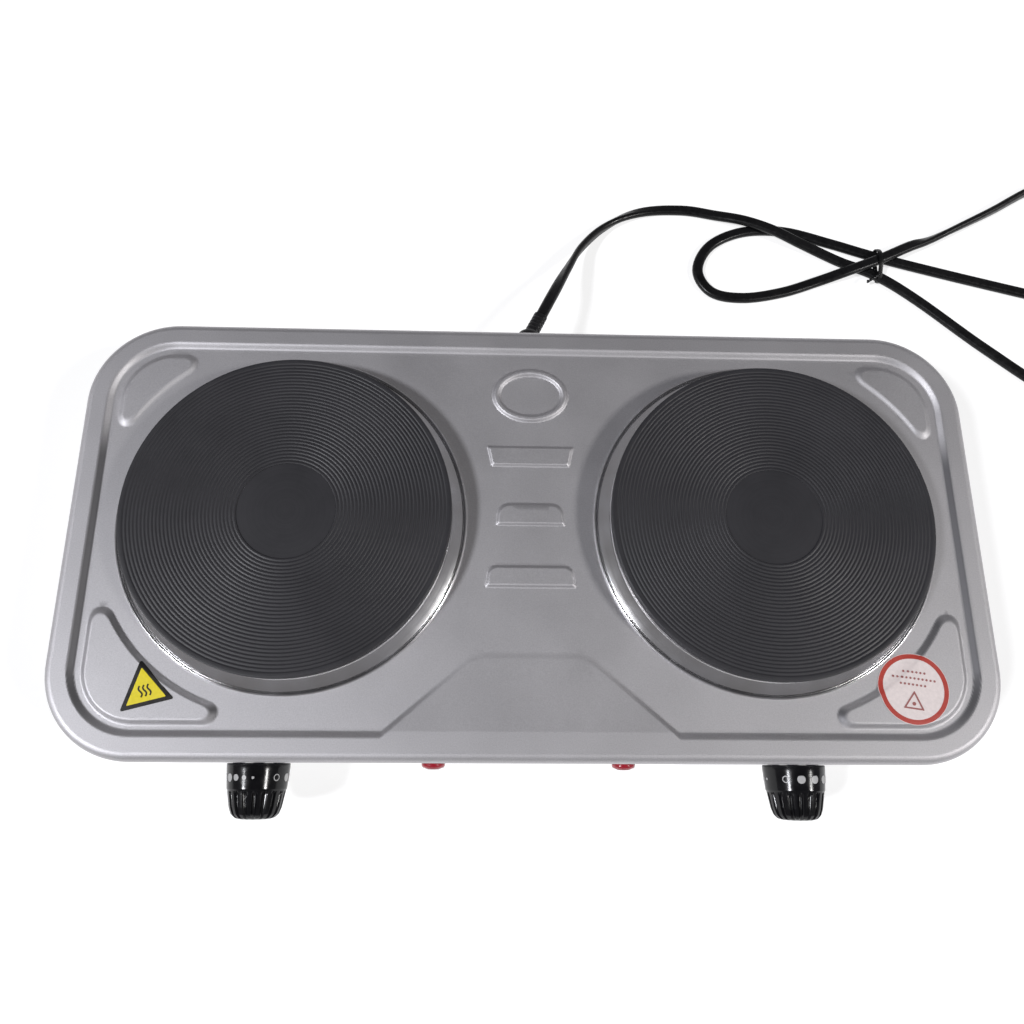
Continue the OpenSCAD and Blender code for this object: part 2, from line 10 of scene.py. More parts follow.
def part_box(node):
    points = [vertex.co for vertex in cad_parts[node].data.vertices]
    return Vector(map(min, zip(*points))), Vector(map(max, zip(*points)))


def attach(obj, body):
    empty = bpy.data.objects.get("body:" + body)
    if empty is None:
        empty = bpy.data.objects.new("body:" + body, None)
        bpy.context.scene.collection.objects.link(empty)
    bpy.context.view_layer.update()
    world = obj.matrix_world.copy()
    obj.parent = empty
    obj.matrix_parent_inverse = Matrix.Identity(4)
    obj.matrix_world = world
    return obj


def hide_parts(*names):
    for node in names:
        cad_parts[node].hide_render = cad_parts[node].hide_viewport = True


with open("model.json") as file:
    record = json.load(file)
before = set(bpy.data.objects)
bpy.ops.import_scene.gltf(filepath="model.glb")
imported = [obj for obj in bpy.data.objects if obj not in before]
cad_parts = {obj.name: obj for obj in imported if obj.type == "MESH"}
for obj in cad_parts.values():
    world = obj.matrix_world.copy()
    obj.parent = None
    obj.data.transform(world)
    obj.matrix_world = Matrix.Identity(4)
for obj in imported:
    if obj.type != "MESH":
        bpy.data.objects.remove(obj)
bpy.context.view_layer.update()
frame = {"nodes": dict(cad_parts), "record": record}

MM = 0.001

# ---- places, from the frame

house_lo, house_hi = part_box("top_housing")
plate_lo, plate_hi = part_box("hot_plate_right")
ring_lo, ring_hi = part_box("trim_ring_right")
knob_lo, knob_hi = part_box("knob_right")
lens_lo, lens_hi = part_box("lamp_lens_right")
tie_lo, tie_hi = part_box("cord_tie")
plug_lo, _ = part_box("plug_body")
blade_lo, blade_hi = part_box("plug_blades")

HALF_W = (house_hi.x - house_lo.x) / 2
HALF_D = (house_hi.y - house_lo.y) / 2
BODY_Y = (house_hi.y + house_lo.y) / 2
FRONT_Y = house_lo.y
BACK_Y = house_hi.y
SKIRT_Z = house_lo.z
BORDER_Z = house_hi.z
FIELD_Z = BORDER_Z - 2.2 * MM
SHEET_T = 0.8 * MM
CORNER_R = 50 * MM
EDGE_R = 5 * MM
BORDER_W = 14.5 * MM
STEP_SLOPE = 4.2 * MM
TONGUE_SLOPE = 3.6 * MM

# Pressed pads in the corners: gap to the border, arc round the plate, where they end, height, slope
PAD_INSET = 6.5 * MM
FRONT_PAD_INSET = 5.5 * MM
FRONT_PAD_ARC = 108.4 * MM
BACK_PAD_ARC = 112 * MM
FRONT_PAD_X, FRONT_PAD_V = 166.5 * MM, -46.5 * MM
BACK_PAD_X, BACK_PAD_V = 198 * MM, 60.5 * MM
FRONT_PAD_H, FRONT_PAD_SLOPE = 2 * MM, 3.6 * MM
BACK_PAD_H, BACK_PAD_SLOPE = 1.2 * MM, 3.4 * MM
OVAL_H = 1.5 * MM
BAR_H, BAR_SLOPE = 1.2 * MM, 1.9 * MM

PLATE_X = (plate_lo.x + plate_hi.x) / 2
PLATE_Y = (plate_lo.y + plate_hi.y) / 2
PLATE_R = (plate_hi.x - plate_lo.x) / 2
PLATE_Z = plate_hi.z
RIM_Z = plate_lo.z
HOLE_R = 89 * MM

KNOB_X = (knob_lo.x + knob_hi.x) / 2
KNOB_Z = (knob_lo.z + knob_hi.z) / 2
KNOB_R = (knob_hi.x - knob_lo.x) / 2
KNOB_REACH = FRONT_Y - knob_lo.y
LAMP_X = (lens_lo.x + lens_hi.x) / 2
LENS_R = (lens_hi.x - lens_lo.x) / 2
GLAND_Z = 40 * MM

# Route of the mains cord: x, y, height of its centre in metres, roll of its flat section in degrees
CORD_ROUTE = [
    (0.008, 0.163, 0.036, 0), (0.017, 0.184, 0.030, 0), (0.027, 0.208, 0.020, 50),
    (0.039, 0.233, 0.010, 90), (0.057, 0.254, 0.004, 80), (0.082, 0.267, 0.0025, 20),
    (0.112, 0.270, 0.0023, 0), (0.136, 0.266, 0.003, 0), (0.156, 0.260, 0.0062, 0),
    (0.176, 0.252, 0.007, 0), (0.196, 0.243, 0.0046, 0), (0.222, 0.231, 0.0023, 0),
    (0.248, 0.219, 0.0034, 0), (0.275, 0.201, 0.0023, 0), (0.318, 0.164, 0.0023, 0),
    (0.360, 0.133, 0.0023, 0), (0.390, 0.130, 0.0023, 0), (0.411, 0.150, 0.0023, 0),
    (0.410, 0.178, 0.0023, 0), (0.388, 0.200, 0.0023, 0), (0.354, 0.208, 0.0023, 0),
    (0.302, 0.221, 0.0023, 0), (0.250, 0.234, 0.0034, 0), (0.218, 0.245, 0.0023, 0),
    (0.185, 0.254, 0.0023, 0), (0.155, 0.253, 0.0023, 0), (0.131, 0.241, 0.0023, 0),
    (0.121, 0.221, 0.0023, 0), (0.130, 0.204, 0.0023, 0), (0.152, 0.200, 0.0023, 0),
    (0.180, 0.205, 0.0023, 0), (0.206, 0.214, 0.0032, 0), (0.225, 0.220, 0.007, 0),
    (0.250, 0.230, 0.008, 0), (0.274, 0.242, 0.0066, 0), (0.294, 0.251, 0.0036, 60),
    (0.336, 0.273, 0.0036, 90), (0.378, 0.296, 0.0036, 90), (0.412, 0.296, 0.003, 20),
    (0.429, 0.277, 0.005, 0), (0.432, 0.252, 0.0085, 0),
]
CORD_W = 7.5 * MM
CORD_T = 4.5 * MM
GLAND_TURN = math.radians(24)
GLAND_DIP = math.radians(11)
SLEEVE_LEN = 20 * MM


# ---- camera, light and floor

def make_camera():
    data = bpy.data.cameras.new("camera")
    data.lens = 29.53
    data.sensor_width = 36
    camera = bpy.data.objects.new("camera", data)
    bpy.context.scene.collection.objects.link(camera)
    bpy.context.scene.camera = camera
    pitch, yaw, roll = math.radians(-73.5), math.radians(-6.1), math.radians(6.6)
    turn = Matrix.Rotation(yaw, 3, "Z")
    right = turn @ Vector((1, 0, 0))
    up = turn @ Vector((0, -math.sin(pitch), math.cos(pitch)))
    back = right.cross(up)
    level = Matrix((right, up, back)).transposed()
    camera.matrix_world = (level @ Matrix.Rotation(roll, 3, "Z")).to_4x4()
    camera.location = (-0.025, -0.1093, 0.5167)


def sun(name, toward, strength, angle, color=(1, 1, 1)):
    """A soft disc of light that is seen in the given direction."""
    data = bpy.data.lights.new(name, "SUN")
    data.energy = strength
    data.angle = math.radians(angle)
    data.color = color
    light = bpy.data.objects.new(name, data)
    light.rotation_mode = "QUATERNION"
    light.rotation_quaternion = Vector(toward).to_track_quat("Z", "Y")
    bpy.context.scene.collection.objects.link(light)


def make_light():
    world = bpy.data.worlds.new("studio")
    bpy.context.scene.world = world
    world.use_nodes = True
    nodes, links = world.node_tree.nodes, world.node_tree.links
    place = nodes.new("ShaderNodeTexCoord")
    split = nodes.new("ShaderNodeSeparateXYZ")
    ramp = nodes.new("ShaderNodeValToRGB")
    links.new(place.outputs["Generated"], split.inputs[0])
    links.new(split.outputs["Z"], ramp.inputs["Fac"])
    elements = ramp.color_ramp.elements
    elements[0].color = (0.22, 0.215, 0.225, 1)
    elements[1].color = (0.045, 0.044, 0.048, 1)
    elements.new(0.55).color = (0.18, 0.176, 0.184, 1)
    elements.new(0.85).color = (0.06, 0.059, 0.064, 1)
    links.new(ramp.outputs["Color"], nodes["Background"].inputs["Color"])
    sun("left_softbox", (-0.62, -0.26, 0.74), 2.2, 7, (0.95, 0.96, 1.0))
    sun("right_softbox", (0.70, -0.24, 0.68), 1.4, 7, (1.0, 0.985, 0.97))
    scene = bpy.context.scene
    scene.view_settings.view_transform = "Standard"
    scene.view_settings.look = "None"


def make_floor():
    mesh = bpy.data.meshes.new("floor")
    half = 4
    corners = [(-half, -half, 0), (half, -half, 0), (half, half, 0), (-half, half, 0)]
    mesh.from_pydata(corners, [], [(0, 1, 2, 3)])
    floor = bpy.data.objects.new("floor", mesh)
    bpy.context.scene.collection.objects.link(floor)
    mesh.materials.append(material("lit_table", (0.4, 0.4, 0.4), roughness=0.9, Emission_Color=(1, 1, 1, 1),
                                   Emission_Strength=0.72))


# ---- materials

def material(name, color, metallic=0.0, roughness=0.5, **sockets):
    """A Principled material; sockets are its other inputs, with _ for a space."""
    made = bpy.data.materials.new(name)
    made.use_nodes = True
    made.diffuse_color = (*color, 1)
    shader = made.node_tree.nodes["Principled BSDF"]
    shader.inputs["Base Color"].default_value = (*color, 1)
    shader.inputs["Metallic"].default_value = metallic
    shader.inputs["Roughness"].default_value = roughness
    for socket, value in sockets.items():
        shader.inputs[socket.replace("_", " ")].default_value = value
    return made


def shader_of(mat):
    return mat.node_tree.nodes["Principled BSDF"]


def add(mat, kind, **inputs):
    node = mat.node_tree.nodes.new(kind)
    for socket, value in inputs.items():
        place = node.inputs[socket.replace("_", " ")]
        if isinstance(value, bpy.types.NodeSocket):
            mat.node_tree.links.new(value, place)
        else:
            place.default_value = value
    return node


def object_place(mat):
    return add(mat, "ShaderNodeTexCoord").outputs["Object"]


def noise(mat, scale, detail=2.0, place=None, roughness=0.5):
    return add(mat, "ShaderNodeTexNoise", Vector=place or object_place(mat), Scale=scale,
               Detail=detail, Roughness=roughness).outputs["Fac"]


def radius(mat):
    """Distance from the object's own Z axis, so a turned surface varies ring by ring."""
    split = add(mat, "ShaderNodeSeparateXYZ", Vector=object_place(mat))
    flat = add(mat, "ShaderNodeCombineXYZ", X=split.outputs["X"], Y=split.outputs["Y"])
    length = add(mat, "ShaderNodeVectorMath")
    length.operation = "LENGTH"
    mat.node_tree.links.new(flat.outputs[0], length.inputs[0])
    return length.outputs["Value"]


def ramp(mat, value, *stops):
    """Maps a value to colours; each stop is (position, colour)."""
    node = add(mat, "ShaderNodeValToRGB", Fac=value)
    elements = node.color_ramp.elements
    while len(elements) < len(stops):
        elements.new(0.5)
    for element, (position, color) in zip(elements, stops):
        element.position = position
        element.color = (*color, 1) if len(color) == 3 else color
    return node.outputs["Color"]


def grey(value):
    return (value, value, value)


def drive(mat, socket, source):
    mat.node_tree.links.new(source, shader_of(mat).inputs[socket])


def tint(mat, value, low, high, start=0.3, end=0.7):
    """Base colour that wanders between two colours."""
    drive(mat, "Base Color", ramp(mat, value, (start, low), (end, high)))


def polish(mat, value, low, high, start=0.3, end=0.7):
    """Roughness that wanders between two values."""
    drive(mat, "Roughness", ramp(mat, value, (start, grey(low)), (end, grey(high))))


def bumps(mat, height, strength, distance):
    node = add(mat, "ShaderNodeBump", Height=height, Strength=strength, Distance=distance)
    drive(mat, "Normal", node.outputs["Normal"])


def mixed(mat, a, b, share=0.5):
    node = mat.node_tree.nodes.new("ShaderNodeMix")
    node.data_type = "FLOAT"
    node.inputs["Factor"].default_value = share
    mat.node_tree.links.new(a, node.inputs["A"])
    mat.node_tree.links.new(b, node.inputs["B"])
    return node.outputs["Result"]


def blended(mat, share, color, other):
    """A colour that goes over into another as share rises."""
    node = mat.node_tree.nodes.new("ShaderNodeMix")
    node.data_type = "RGBA"
    live = {socket.name: socket for socket in node.inputs if socket.enabled}
    factor, a, b = (live[name] for name in ("Factor", "A", "B"))
    mat.node_tree.links.new(share, factor)
    mat.node_tree.links.new(color, a)
    b.default_value = (*other, 1)
    return next(socket for socket in node.outputs if socket.enabled)


def lacquered_steel():
    mat = material("lacquered_steel", (0.6, 0.6, 0.61), metallic=1.0, roughness=0.57)
    flakes = noise(mat, 1500, 1)
    clouds = noise(mat, 14, 3)
    # Painted shade: the steep flanks that face the middle of the sheet go over into dark grey, by a share
    # that make_housing stores per point on the mesh.
    painted_shade = add(mat, "ShaderNodeAttribute")
    painted_shade.attribute_name = "painted_shade"
    dark, light = (0.50, 0.493, 0.507), (0.60, 0.59, 0.607)
    lacquer = ramp(mat, mixed(mat, flakes, clouds, 0.35), (0.3, dark), (0.7, light))
    drive(mat, "Base Color", blended(mat, painted_shade.outputs["Fac"], lacquer, (0.15, 0.148, 0.155)))
    polish(mat, mixed(mat, noise(mat, 900, 2), noise(mat, 30, 4), 0.5), 0.53, 0.61)
    bumps(mat, noise(mat, 700, 2), 0.12, 0.05 * MM)
    return mat


def cast_iron():
    mat = material("cast_iron", (0.03, 0.03, 0.034), metallic=0.0, roughness=0.5, Specular_IOR_Level=0.55)
    turned = add(mat, "ShaderNodeCombineXYZ", X=radius(mat))
    rings = noise(mat, 1400, 2, turned.outputs[0])
    stains = noise(mat, 22, 5, roughness=0.6)
    grain = noise(mat, 2600, 2)
    marks = mixed(mat, mixed(mat, rings, grain, 0.4), stains, 0.4)
    tint(mat, marks, (0.014, 0.014, 0.0165), (0.028, 0.027, 0.032))
    polish(mat, mixed(mat, stains, rings, 0.4), 0.42, 0.6)
    bumps(mat, mixed(mat, grain, rings, 0.5), 0.35, 0.06 * MM)
    return mat


def polished_trim():
    mat = material("polished_trim", (0.78, 0.78, 0.79), metallic=1.0, roughness=0.12)
    turned = add(mat, "ShaderNodeCombineXYZ", X=radius(mat))
    drawn = noise(mat, 900, 2, turned.outputs[0])
    smears = noise(mat, 40, 4)
    tint(mat, smears, (0.70, 0.69, 0.68), (0.84, 0.84, 0.86))
    polish(mat, mixed(mat, drawn, smears, 0.6), 0.10, 0.26)
    bumps(mat, drawn, 0.15, 0.03 * MM)
    return mat


def gloss_black():
    mat = material("gloss_black", (0.004, 0.004, 0.005), roughness=0.16, Specular_IOR_Level=0.3)
    tint(mat, noise(mat, 120, 3), (0.003, 0.003, 0.004), (0.007, 0.007, 0.008))
    polish(mat, noise(mat, 260, 4), 0.12, 0.22)
    bumps(mat, noise(mat, 1800, 2), 0.08, 0.02 * MM)
    return mat


def printed(name, color):
    """Flat ink or film with a little unevenness."""
    mat = material(name, color, roughness=0.4)
    darker = tuple(0.9 * c for c in color)
    tint(mat, noise(mat, 500, 3), darker, color)
    polish(mat, noise(mat, 300, 2), 0.32, 0.5)
    return mat


def red_lens():
    mat = material("red_lens", (0.5, 0.02, 0.04), roughness=0.15, Coat_Weight=0.6, Coat_Roughness=0.05,
                   Transmission_Weight=0.15)
    # Painted shade: the base colour is darkest over the dome in the middle, standing in for the dark inside
    # of the lamp seen through the red plastic.
    drive(mat, "Base Color", ramp(
        mat, radius(mat),
        (0.0, (0.10, 0.004, 0.012)), (0.0036, (0.14, 0.005, 0.016)),
        (0.0046, (0.52, 0.02, 0.035)), (0.0066, (0.42, 0.015, 0.03)),
    ))
    polish(mat, noise(mat, 600, 2), 0.12, 0.22)
    bumps(mat, noise(mat, 900, 2), 0.05, 0.02 * MM)
    return mat


def black_pvc(name="black_pvc", color=(0.004, 0.004, 0.0045), shine=0.34):
    mat = material(name, color, roughness=shine, Specular_IOR_Level=0.32)
    tint(mat, noise(mat, 90, 4), tuple(0.7 * c for c in color), tuple(1.5 * c for c in color))
    polish(mat, noise(mat, 350, 4), shine - 0.06, shine + 0.12)
    bumps(mat, mixed(mat, noise(mat, 1500, 3), noise(mat, 160, 2), 0.4), 0.2, 0.06 * MM)
    return mat


def rubber():
    mat = material("foot_rubber", (0.02, 0.02, 0.02), roughness=0.8)
    tint(mat, noise(mat, 200, 4), (0.014, 0.014, 0.014), (0.032, 0.031, 0.03))
    polish(mat, noise(mat, 500, 3), 0.7, 0.9)
    bumps(mat, noise(mat, 1400, 3), 0.4, 0.1 * MM)
    return mat


def zinc(name, color, shine):
    mat = material(name, color, metallic=1.0, roughness=shine)
    cells = add(mat, "ShaderNodeTexVoronoi", Vector=object_place(mat), Scale=110.0).outputs["Distance"]
    tint(mat, mixed(mat, cells, noise(mat, 60, 4), 0.5), tuple(0.8 * c for c in color), color, 0.2, 0.7)
    polish(mat, noise(mat, 240, 3), shine - 0.08, shine + 0.12)
    bumps(mat, noise(mat, 700, 3), 0.1, 0.05 * MM)
    return mat


def turned_metal(name, color, shine):
    mat = material(name, color, metallic=1.0, roughness=shine)
    place = add(mat, "ShaderNodeMapping", Vector=object_place(mat), Scale=(1, 12, 1)).outputs[0]
    lines = noise(mat, 300, 3, place)
    tint(mat, lines, tuple(0.75 * c for c in color), color)
    polish(mat, lines, shine - 0.08, shine + 0.1)
    bumps(mat, lines, 0.15, 0.05 * MM)
    return mat


def ceramic():
    mat = material("steatite", (0.8, 0.77, 0.7), roughness=0.6)
    tint(mat, noise(mat, 70, 5), (0.72, 0.69, 0.6), (0.84, 0.82, 0.76))
    polish(mat, noise(mat, 200, 3), 0.5, 0.72)
    bumps(mat, noise(mat, 1600, 3), 0.3, 0.08 * MM)
    return mat


def polyamide():
    mat = material("polyamide", (0.8, 0.8, 0.77), roughness=0.45, Subsurface_Weight=0.05)
    tint(mat, noise(mat, 80, 3), (0.74, 0.74, 0.7), (0.83, 0.83, 0.81))
    polish(mat, noise(mat, 400, 3), 0.38, 0.55)
    bumps(mat, noise(mat, 1200, 2), 0.15, 0.05 * MM)
    return mat


def braided_sleeve():
    mat = material("braided_sleeve", (0.42, 0.09, 0.07), roughness=0.7)
    wave = add(mat, "ShaderNodeTexWave", Vector=object_place(mat), Scale=320.0, Distortion=3.0)
    weave = wave.outputs["Fac"]
    tint(mat, weave, (0.3, 0.05, 0.04), (0.52, 0.13, 0.1))
    polish(mat, noise(mat, 500, 3), 0.55, 0.8)
    bumps(mat, weave, 0.4, 0.1 * MM)
    return mat


def oxidised_wire():
    mat = material("oxidised_wire", (0.3, 0.28, 0.27), metallic=0.8, roughness=0.55)
    tint(mat, noise(mat, 150, 5), (0.2, 0.18, 0.17), (0.4, 0.38, 0.36))
    polish(mat, noise(mat, 300, 4), 0.45, 0.7)
    bumps(mat, noise(mat, 1200, 3), 0.3, 0.06 * MM)
    return mat


MATERIALS = {
    "steel_sheet": lacquered_steel(),
    "galvanised": zinc("zinc_sheet", (0.62, 0.63, 0.64), 0.35),
    "fastener": zinc("zinc_fastener", (0.5, 0.5, 0.51), 0.3),
    "foot_rubber": rubber(),
    "cast_iron": cast_iron(),
    "trim_steel": polished_trim(),
    "coil_wire": oxidised_wire(),
    "ceramic": ceramic(),
    "brass": turned_metal("brass", (0.78, 0.6, 0.28), 0.28),
    "shaft_steel": turned_metal("turned_steel", (0.6, 0.6, 0.6), 0.25),
    "knob_plastic": gloss_black(),
    "lens_red": red_lens(),
    "white_plastic": polyamide(),
    "lead_sleeve": braided_sleeve(),
    "cord_pvc": black_pvc(),
    "bush_rubber": black_pvc("bush_pvc", (0.009, 0.009, 0.010), 0.42),
    "label_yellow": printed("label_yellow", (0.86, 0.72, 0.03)),
    "label_red": printed("label_pale", (0.83, 0.74, 0.72)),
}
INK_BLACK = printed("ink_black", (0.012, 0.011, 0.010))
INK_RED = printed("ink_red", (0.46, 0.055, 0.04))
# Painted shade: the knobs' white print is a mid grey, darkened to read as dim as the marks in shade.
INK_WHITE = printed("ink_white", (0.46, 0.46, 0.46))


def dress_cad_nodes():
    """Gives every CAD node the material of its slot in the record."""
    for part in frame["record"]["subparts"]:
        node = frame["nodes"][part["node"]]
        node.data.materials.clear()
        node.data.materials.append(MATERIALS[part["material_slot"]])
        node.data.polygons.foreach_set("material_index", [0] * len(node.data.polygons))


# ---- mesh helpers

def piece(name, points, faces, body, slot, replaces=(), origin=(0, 0, 0), sharp=35, inks=(), ink_of=None):
    """A mesh piece that rides on a body and takes its slot's material, with inks after it."""
    mesh = bpy.data.meshes.new(name)
    mesh.from_pydata([tuple(p) for p in points], [], [tuple(f) for f in faces])
    mesh.validate()
    mesh.shade_smooth()
    if sharp:
        mesh.set_sharp_from_angle(angle=math.radians(sharp))
    for mat in (MATERIALS[slot], *inks):
        mesh.materials.append(mat)
    if ink_of is not None:
        mesh.polygons.foreach_set("material_index", ink_of)
    made = bpy.data.objects.new(name, mesh)
    made.location = origin
    bpy.context.scene.collection.objects.link(made)
    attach(made, body)
    if replaces:
        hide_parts(*replaces)
    return made


def grid_faces(rows, columns, close_rows=False, close_columns=True, start=0):
    """Quads over rows x columns points."""
    faces = []
    for i in range(rows if close_rows else rows - 1):
        for j in range(columns if close_columns else columns - 1):
            a, b = i * columns, ((i + 1) % rows) * columns
            k = (j + 1) % columns
            faces.append((start + a + j, start + a + k, start + b + k, start + b + j))
    return faces


def fillet(corners, radius_of_bend, steps=4, closed=True):
    """Rounds a profile's corners with arcs; a bend takes at most 45% of its shorter side."""
    count = len(corners)
    smooth = []
    for i, corner in enumerate(corners):
        if not closed and i in (0, count - 1):
            smooth.append(tuple(corner))
            continue
        here = Vector(corner)
        before = Vector(corners[i - 1]) - here
        after = Vector(corners[(i + 1) % count]) - here
        reach = min(radius_of_bend, 0.45 * before.length, 0.45 * after.length)
        a, b = here + before.normalized() * reach, here + after.normalized() * reach
        for k in range(steps + 1):
            t = k / steps
            smooth.append(tuple((1 - t) ** 2 * a + 2 * t * (1 - t) * here + t * t * b))
    return smooth


def revolved(profile, segments, closed=True):
    """Points and faces of a profile (radius, height) turned about Z. Profile runs counter-clockwise."""
    angles = np.arange(segments) * 2 * math.pi / segments
    profile = np.array(profile)
    points = np.stack([
        np.outer(profile[:, 0], np.cos(angles)),
        np.outer(profile[:, 0], np.sin(angles)),
        np.repeat(profile[:, 1:], segments, axis=1),
    ], axis=-1).reshape(-1, 3)
    return points, grid_faces(len(profile), segments, close_rows=closed)


def out_of_front(points):
    """Turns points about Z into points about an axis that comes out of the front wall."""
    x, y, z = np.array(points).T
    return np.stack([x, -z, y], axis=-1)


def smoothed(route, steps):
    """Route with steps points to each stretch, on the curve that the cord's CAD tube follows."""
    route = np.array(route, float)
    last = len(route) - 1
    points = []
    for i in range(last):
        a, b, c, d = route[max(i - 1, 0)], route[i], route[i + 1], route[min(i + 2, last)]
        for k in range(steps):
            t = k / steps
            points.append(b + (c - a) * t / 2 + (2 * a - 5 * b + 4 * c - d) * t ** 2 / 2
                          + (3 * b - a - 3 * c + d) * t ** 3 / 2)
    return np.array(points + [route[last]])


def swept(path, section_at, rolls=None):
    """Tube along a path. section_at(share) gives the section's (side, up) points there."""
    path = np.array(path, float)
    count = len(path)
    rolls = np.zeros(count) if rolls is None else np.radians(rolls)
    ahead = path[np.minimum(np.arange(count) + 1, count - 1)] - path[np.maximum(np.arange(count) - 1, 0)]
    rings = []
    for i in range(count):
        heading = ahead[i] / np.linalg.norm(ahead[i])
        side = np.cross(heading, (0, 0, 1))
        side /= np.linalg.norm(side)
        up = np.cross(side, heading)
        across, high = np.array(section_at(i / (count - 1))).T
        turn, lift = math.cos(rolls[i]), math.sin(rolls[i])
        sideways, upward = across * turn - high * lift, across * lift + high * turn
        rings.append(path[i] + np.outer(sideways, side) + np.outer(upward, up))
    size = len(rings[0])
    faces = grid_faces(count, size)
    faces.append(tuple(range(size))[::-1])
    faces.append(tuple((count - 1) * size + k for k in range(size)))
    return np.concatenate(rings), faces


def rounded_section(w, h, r, steps=5):
    """Rectangle with round corners, counter-clockwise."""
    points = []
    for i, (x, y) in enumerate([(1, -1), (1, 1), (-1, 1), (-1, -1)]):
        for k in range(steps + 1):
            a = math.pi / 2 * (i - 1 + k / steps)
            points.append((x * (w / 2 - r) + r * math.cos(a), y * (h / 2 - r) + r * math.sin(a)))
    return points


# ---- pressed top sheet

def smooth_step(t):
    t = np.clip(t, 0, 1)
    return t * t * (3 - 2 * t)


def smooth_max(a, b, k):
    blend = np.maximum(k - np.abs(a - b), 0) / k
    return np.maximum(a, b) + blend * blend * k / 4


def to_round_rect(x, y, half_w, half_d, r):
    """Distance to a rounded rectangle, negative inside. The other to_ functions say the same."""
    a, b = np.abs(x) - (half_w - r), np.abs(y) - (half_d - r)
    return np.hypot(np.maximum(a, 0), np.maximum(b, 0)) + np.minimum(np.maximum(a, b), 0) - r


def to_tongue(side, v):
    """Raised tongue of the border that reaches into the field at the front."""
    half_top, top, lean = 30.5 * MM, -69.5 * MM, 48.5 / 42
    slant = ((side - half_top) + (v - top) * lean) / math.hypot(1, lean)
    return smooth_max(slant, v - top, 5 * MM)


def to_pad(side, v, rho, front):
    """Corner pad, cut away round the plate and at its two ends."""
    half_w = HALF_W - BORDER_W - PAD_INSET
    half_d = HALF_D - BORDER_W - (FRONT_PAD_INSET if front else PAD_INSET)
    edge = to_round_rect(side, v, half_w, half_d, CORNER_R - BORDER_W - PAD_INSET)
    if front:
        arc = FRONT_PAD_ARC - rho
        ends = smooth_max(FRONT_PAD_X - side, v - FRONT_PAD_V, 3 * MM)
    else:
        arc = BACK_PAD_ARC - rho
        ends = smooth_max(BACK_PAD_X - side, BACK_PAD_V - v, 4 * MM)
    return smooth_max(smooth_max(edge, ends, 8 * MM), arc, 5 * MM)


def to_oval_line(side, v):
    """Distance to the middle line of the oval bead."""
    a, b = 20.1 * MM, 14.8 * MM
    y = v - 83.5 * MM
    k0 = np.hypot(side / a, y / b)
    k1 = np.maximum(np.hypot(side / a ** 2, y / b ** 2), 1e-9)
    return np.abs(k0 * (k0 - 1) / k1)


def to_bar(side, v, middle, low_half, top_half, half_h, low_bend, top_bend):
    """Bar with a low edge and a top edge of different lengths."""
    lean = (top_half - low_half) / (2 * half_h)
    end = (side - (low_half + top_half) / 2 - (v - middle) * lean) / math.hypot(1, lean)
    top = smooth_max(end, v - middle - half_h, top_bend)
    low = smooth_max(end, middle - half_h - v, low_bend)
    return np.maximum(top, low)


def raised(distance, height, slope):
    return height * smooth_step(0.5 - distance / slope)


def sheet_z(x, y):
    """Height of the upper face of the pressed top sheet."""
    v, side = y - BODY_Y, np.abs(x)
    rho = np.hypot(side - PLATE_X, y - PLATE_Y)
    to_border = to_round_rect(x, v, HALF_W - BORDER_W, HALF_D - BORDER_W, CORNER_R - BORDER_W)
    step = smooth_step(0.5 + to_border / STEP_SLOPE)
    fading = np.clip((-v - 48 * MM) / (62 * MM), 0, 1) ** 2.1
    tongue = smooth_step(0.5 - to_tongue(side, v) / TONGUE_SLOPE) * fading
    z = FIELD_Z + (BORDER_Z - FIELD_Z) * np.clip(smooth_max(step, tongue, 0.15), 0, 1)
    z = z + raised(to_pad(side, v, rho, True), FRONT_PAD_H, FRONT_PAD_SLOPE)
    z = z + raised(to_pad(side, v, rho, False), BACK_PAD_H, BACK_PAD_SLOPE)
    z = z + OVAL_H * smooth_step((2.7 * MM - to_oval_line(side, v)) / (2.1 * MM))
    for bar in (
        (45, 22, 24.5, 5.5, 1, 1),
        (9.9, 19.0, 17.6, 5.9, 1, 6.5),
        (-26, 24.6, 23, 5.6, 1, 5),
    ):
        z = z + raised(to_bar(side, v, *(size * MM for size in bar)), BAR_H, BAR_SLOPE)
    return z


def sheet_normals(x, y):
    d = 0.05 * MM
    slope_x = (sheet_z(x + d, y) - sheet_z(x - d, y)) / (2 * d)
    slope_y = (sheet_z(x, y + d) - sheet_z(x, y - d)) / (2 * d)
    normals = np.stack([-slope_x, -slope_y, np.ones_like(x)], axis=-1)
    return normals / np.linalg.norm(normals, axis=1)[:, None]


def stations():
    """Corner centre and direction at points along the housing's outline, from the front wall's left end."""
    straight_w, straight_d = HALF_W - CORNER_R, HALF_D - CORNER_R
    rows = []
    corners = [(1, -1, -90), (1, 1, 0), (-1, 1, 90), (-1, -1, 180)]
    before = (-straight_w, BODY_Y - straight_d)
    for x, y, start in corners:
        centre = (x * straight_w, BODY_Y + y * straight_d)
        length = math.dist(before, centre)
        for t in np.linspace(0, 1, max(2, round(length / (8 * MM))), endpoint=False):
            place = (a + (b - a) * t for a, b in zip(before, centre))
            rows.append((*place, start))
        rows += [(*centre, start + a) for a in np.linspace(0, 90, 28, endpoint=False)]
        before = centre
    rows.append((rows[0][0], rows[0][1], 270))
    return np.array(rows)


def on_outline(places, inset):
    angle = np.radians(places[:, 2])
    return np.stack([
        places[:, 0] + (CORNER_R - inset) * np.cos(angle),
        places[:, 1] + (CORNER_R - inset) * np.sin(angle),
    ], axis=-1)


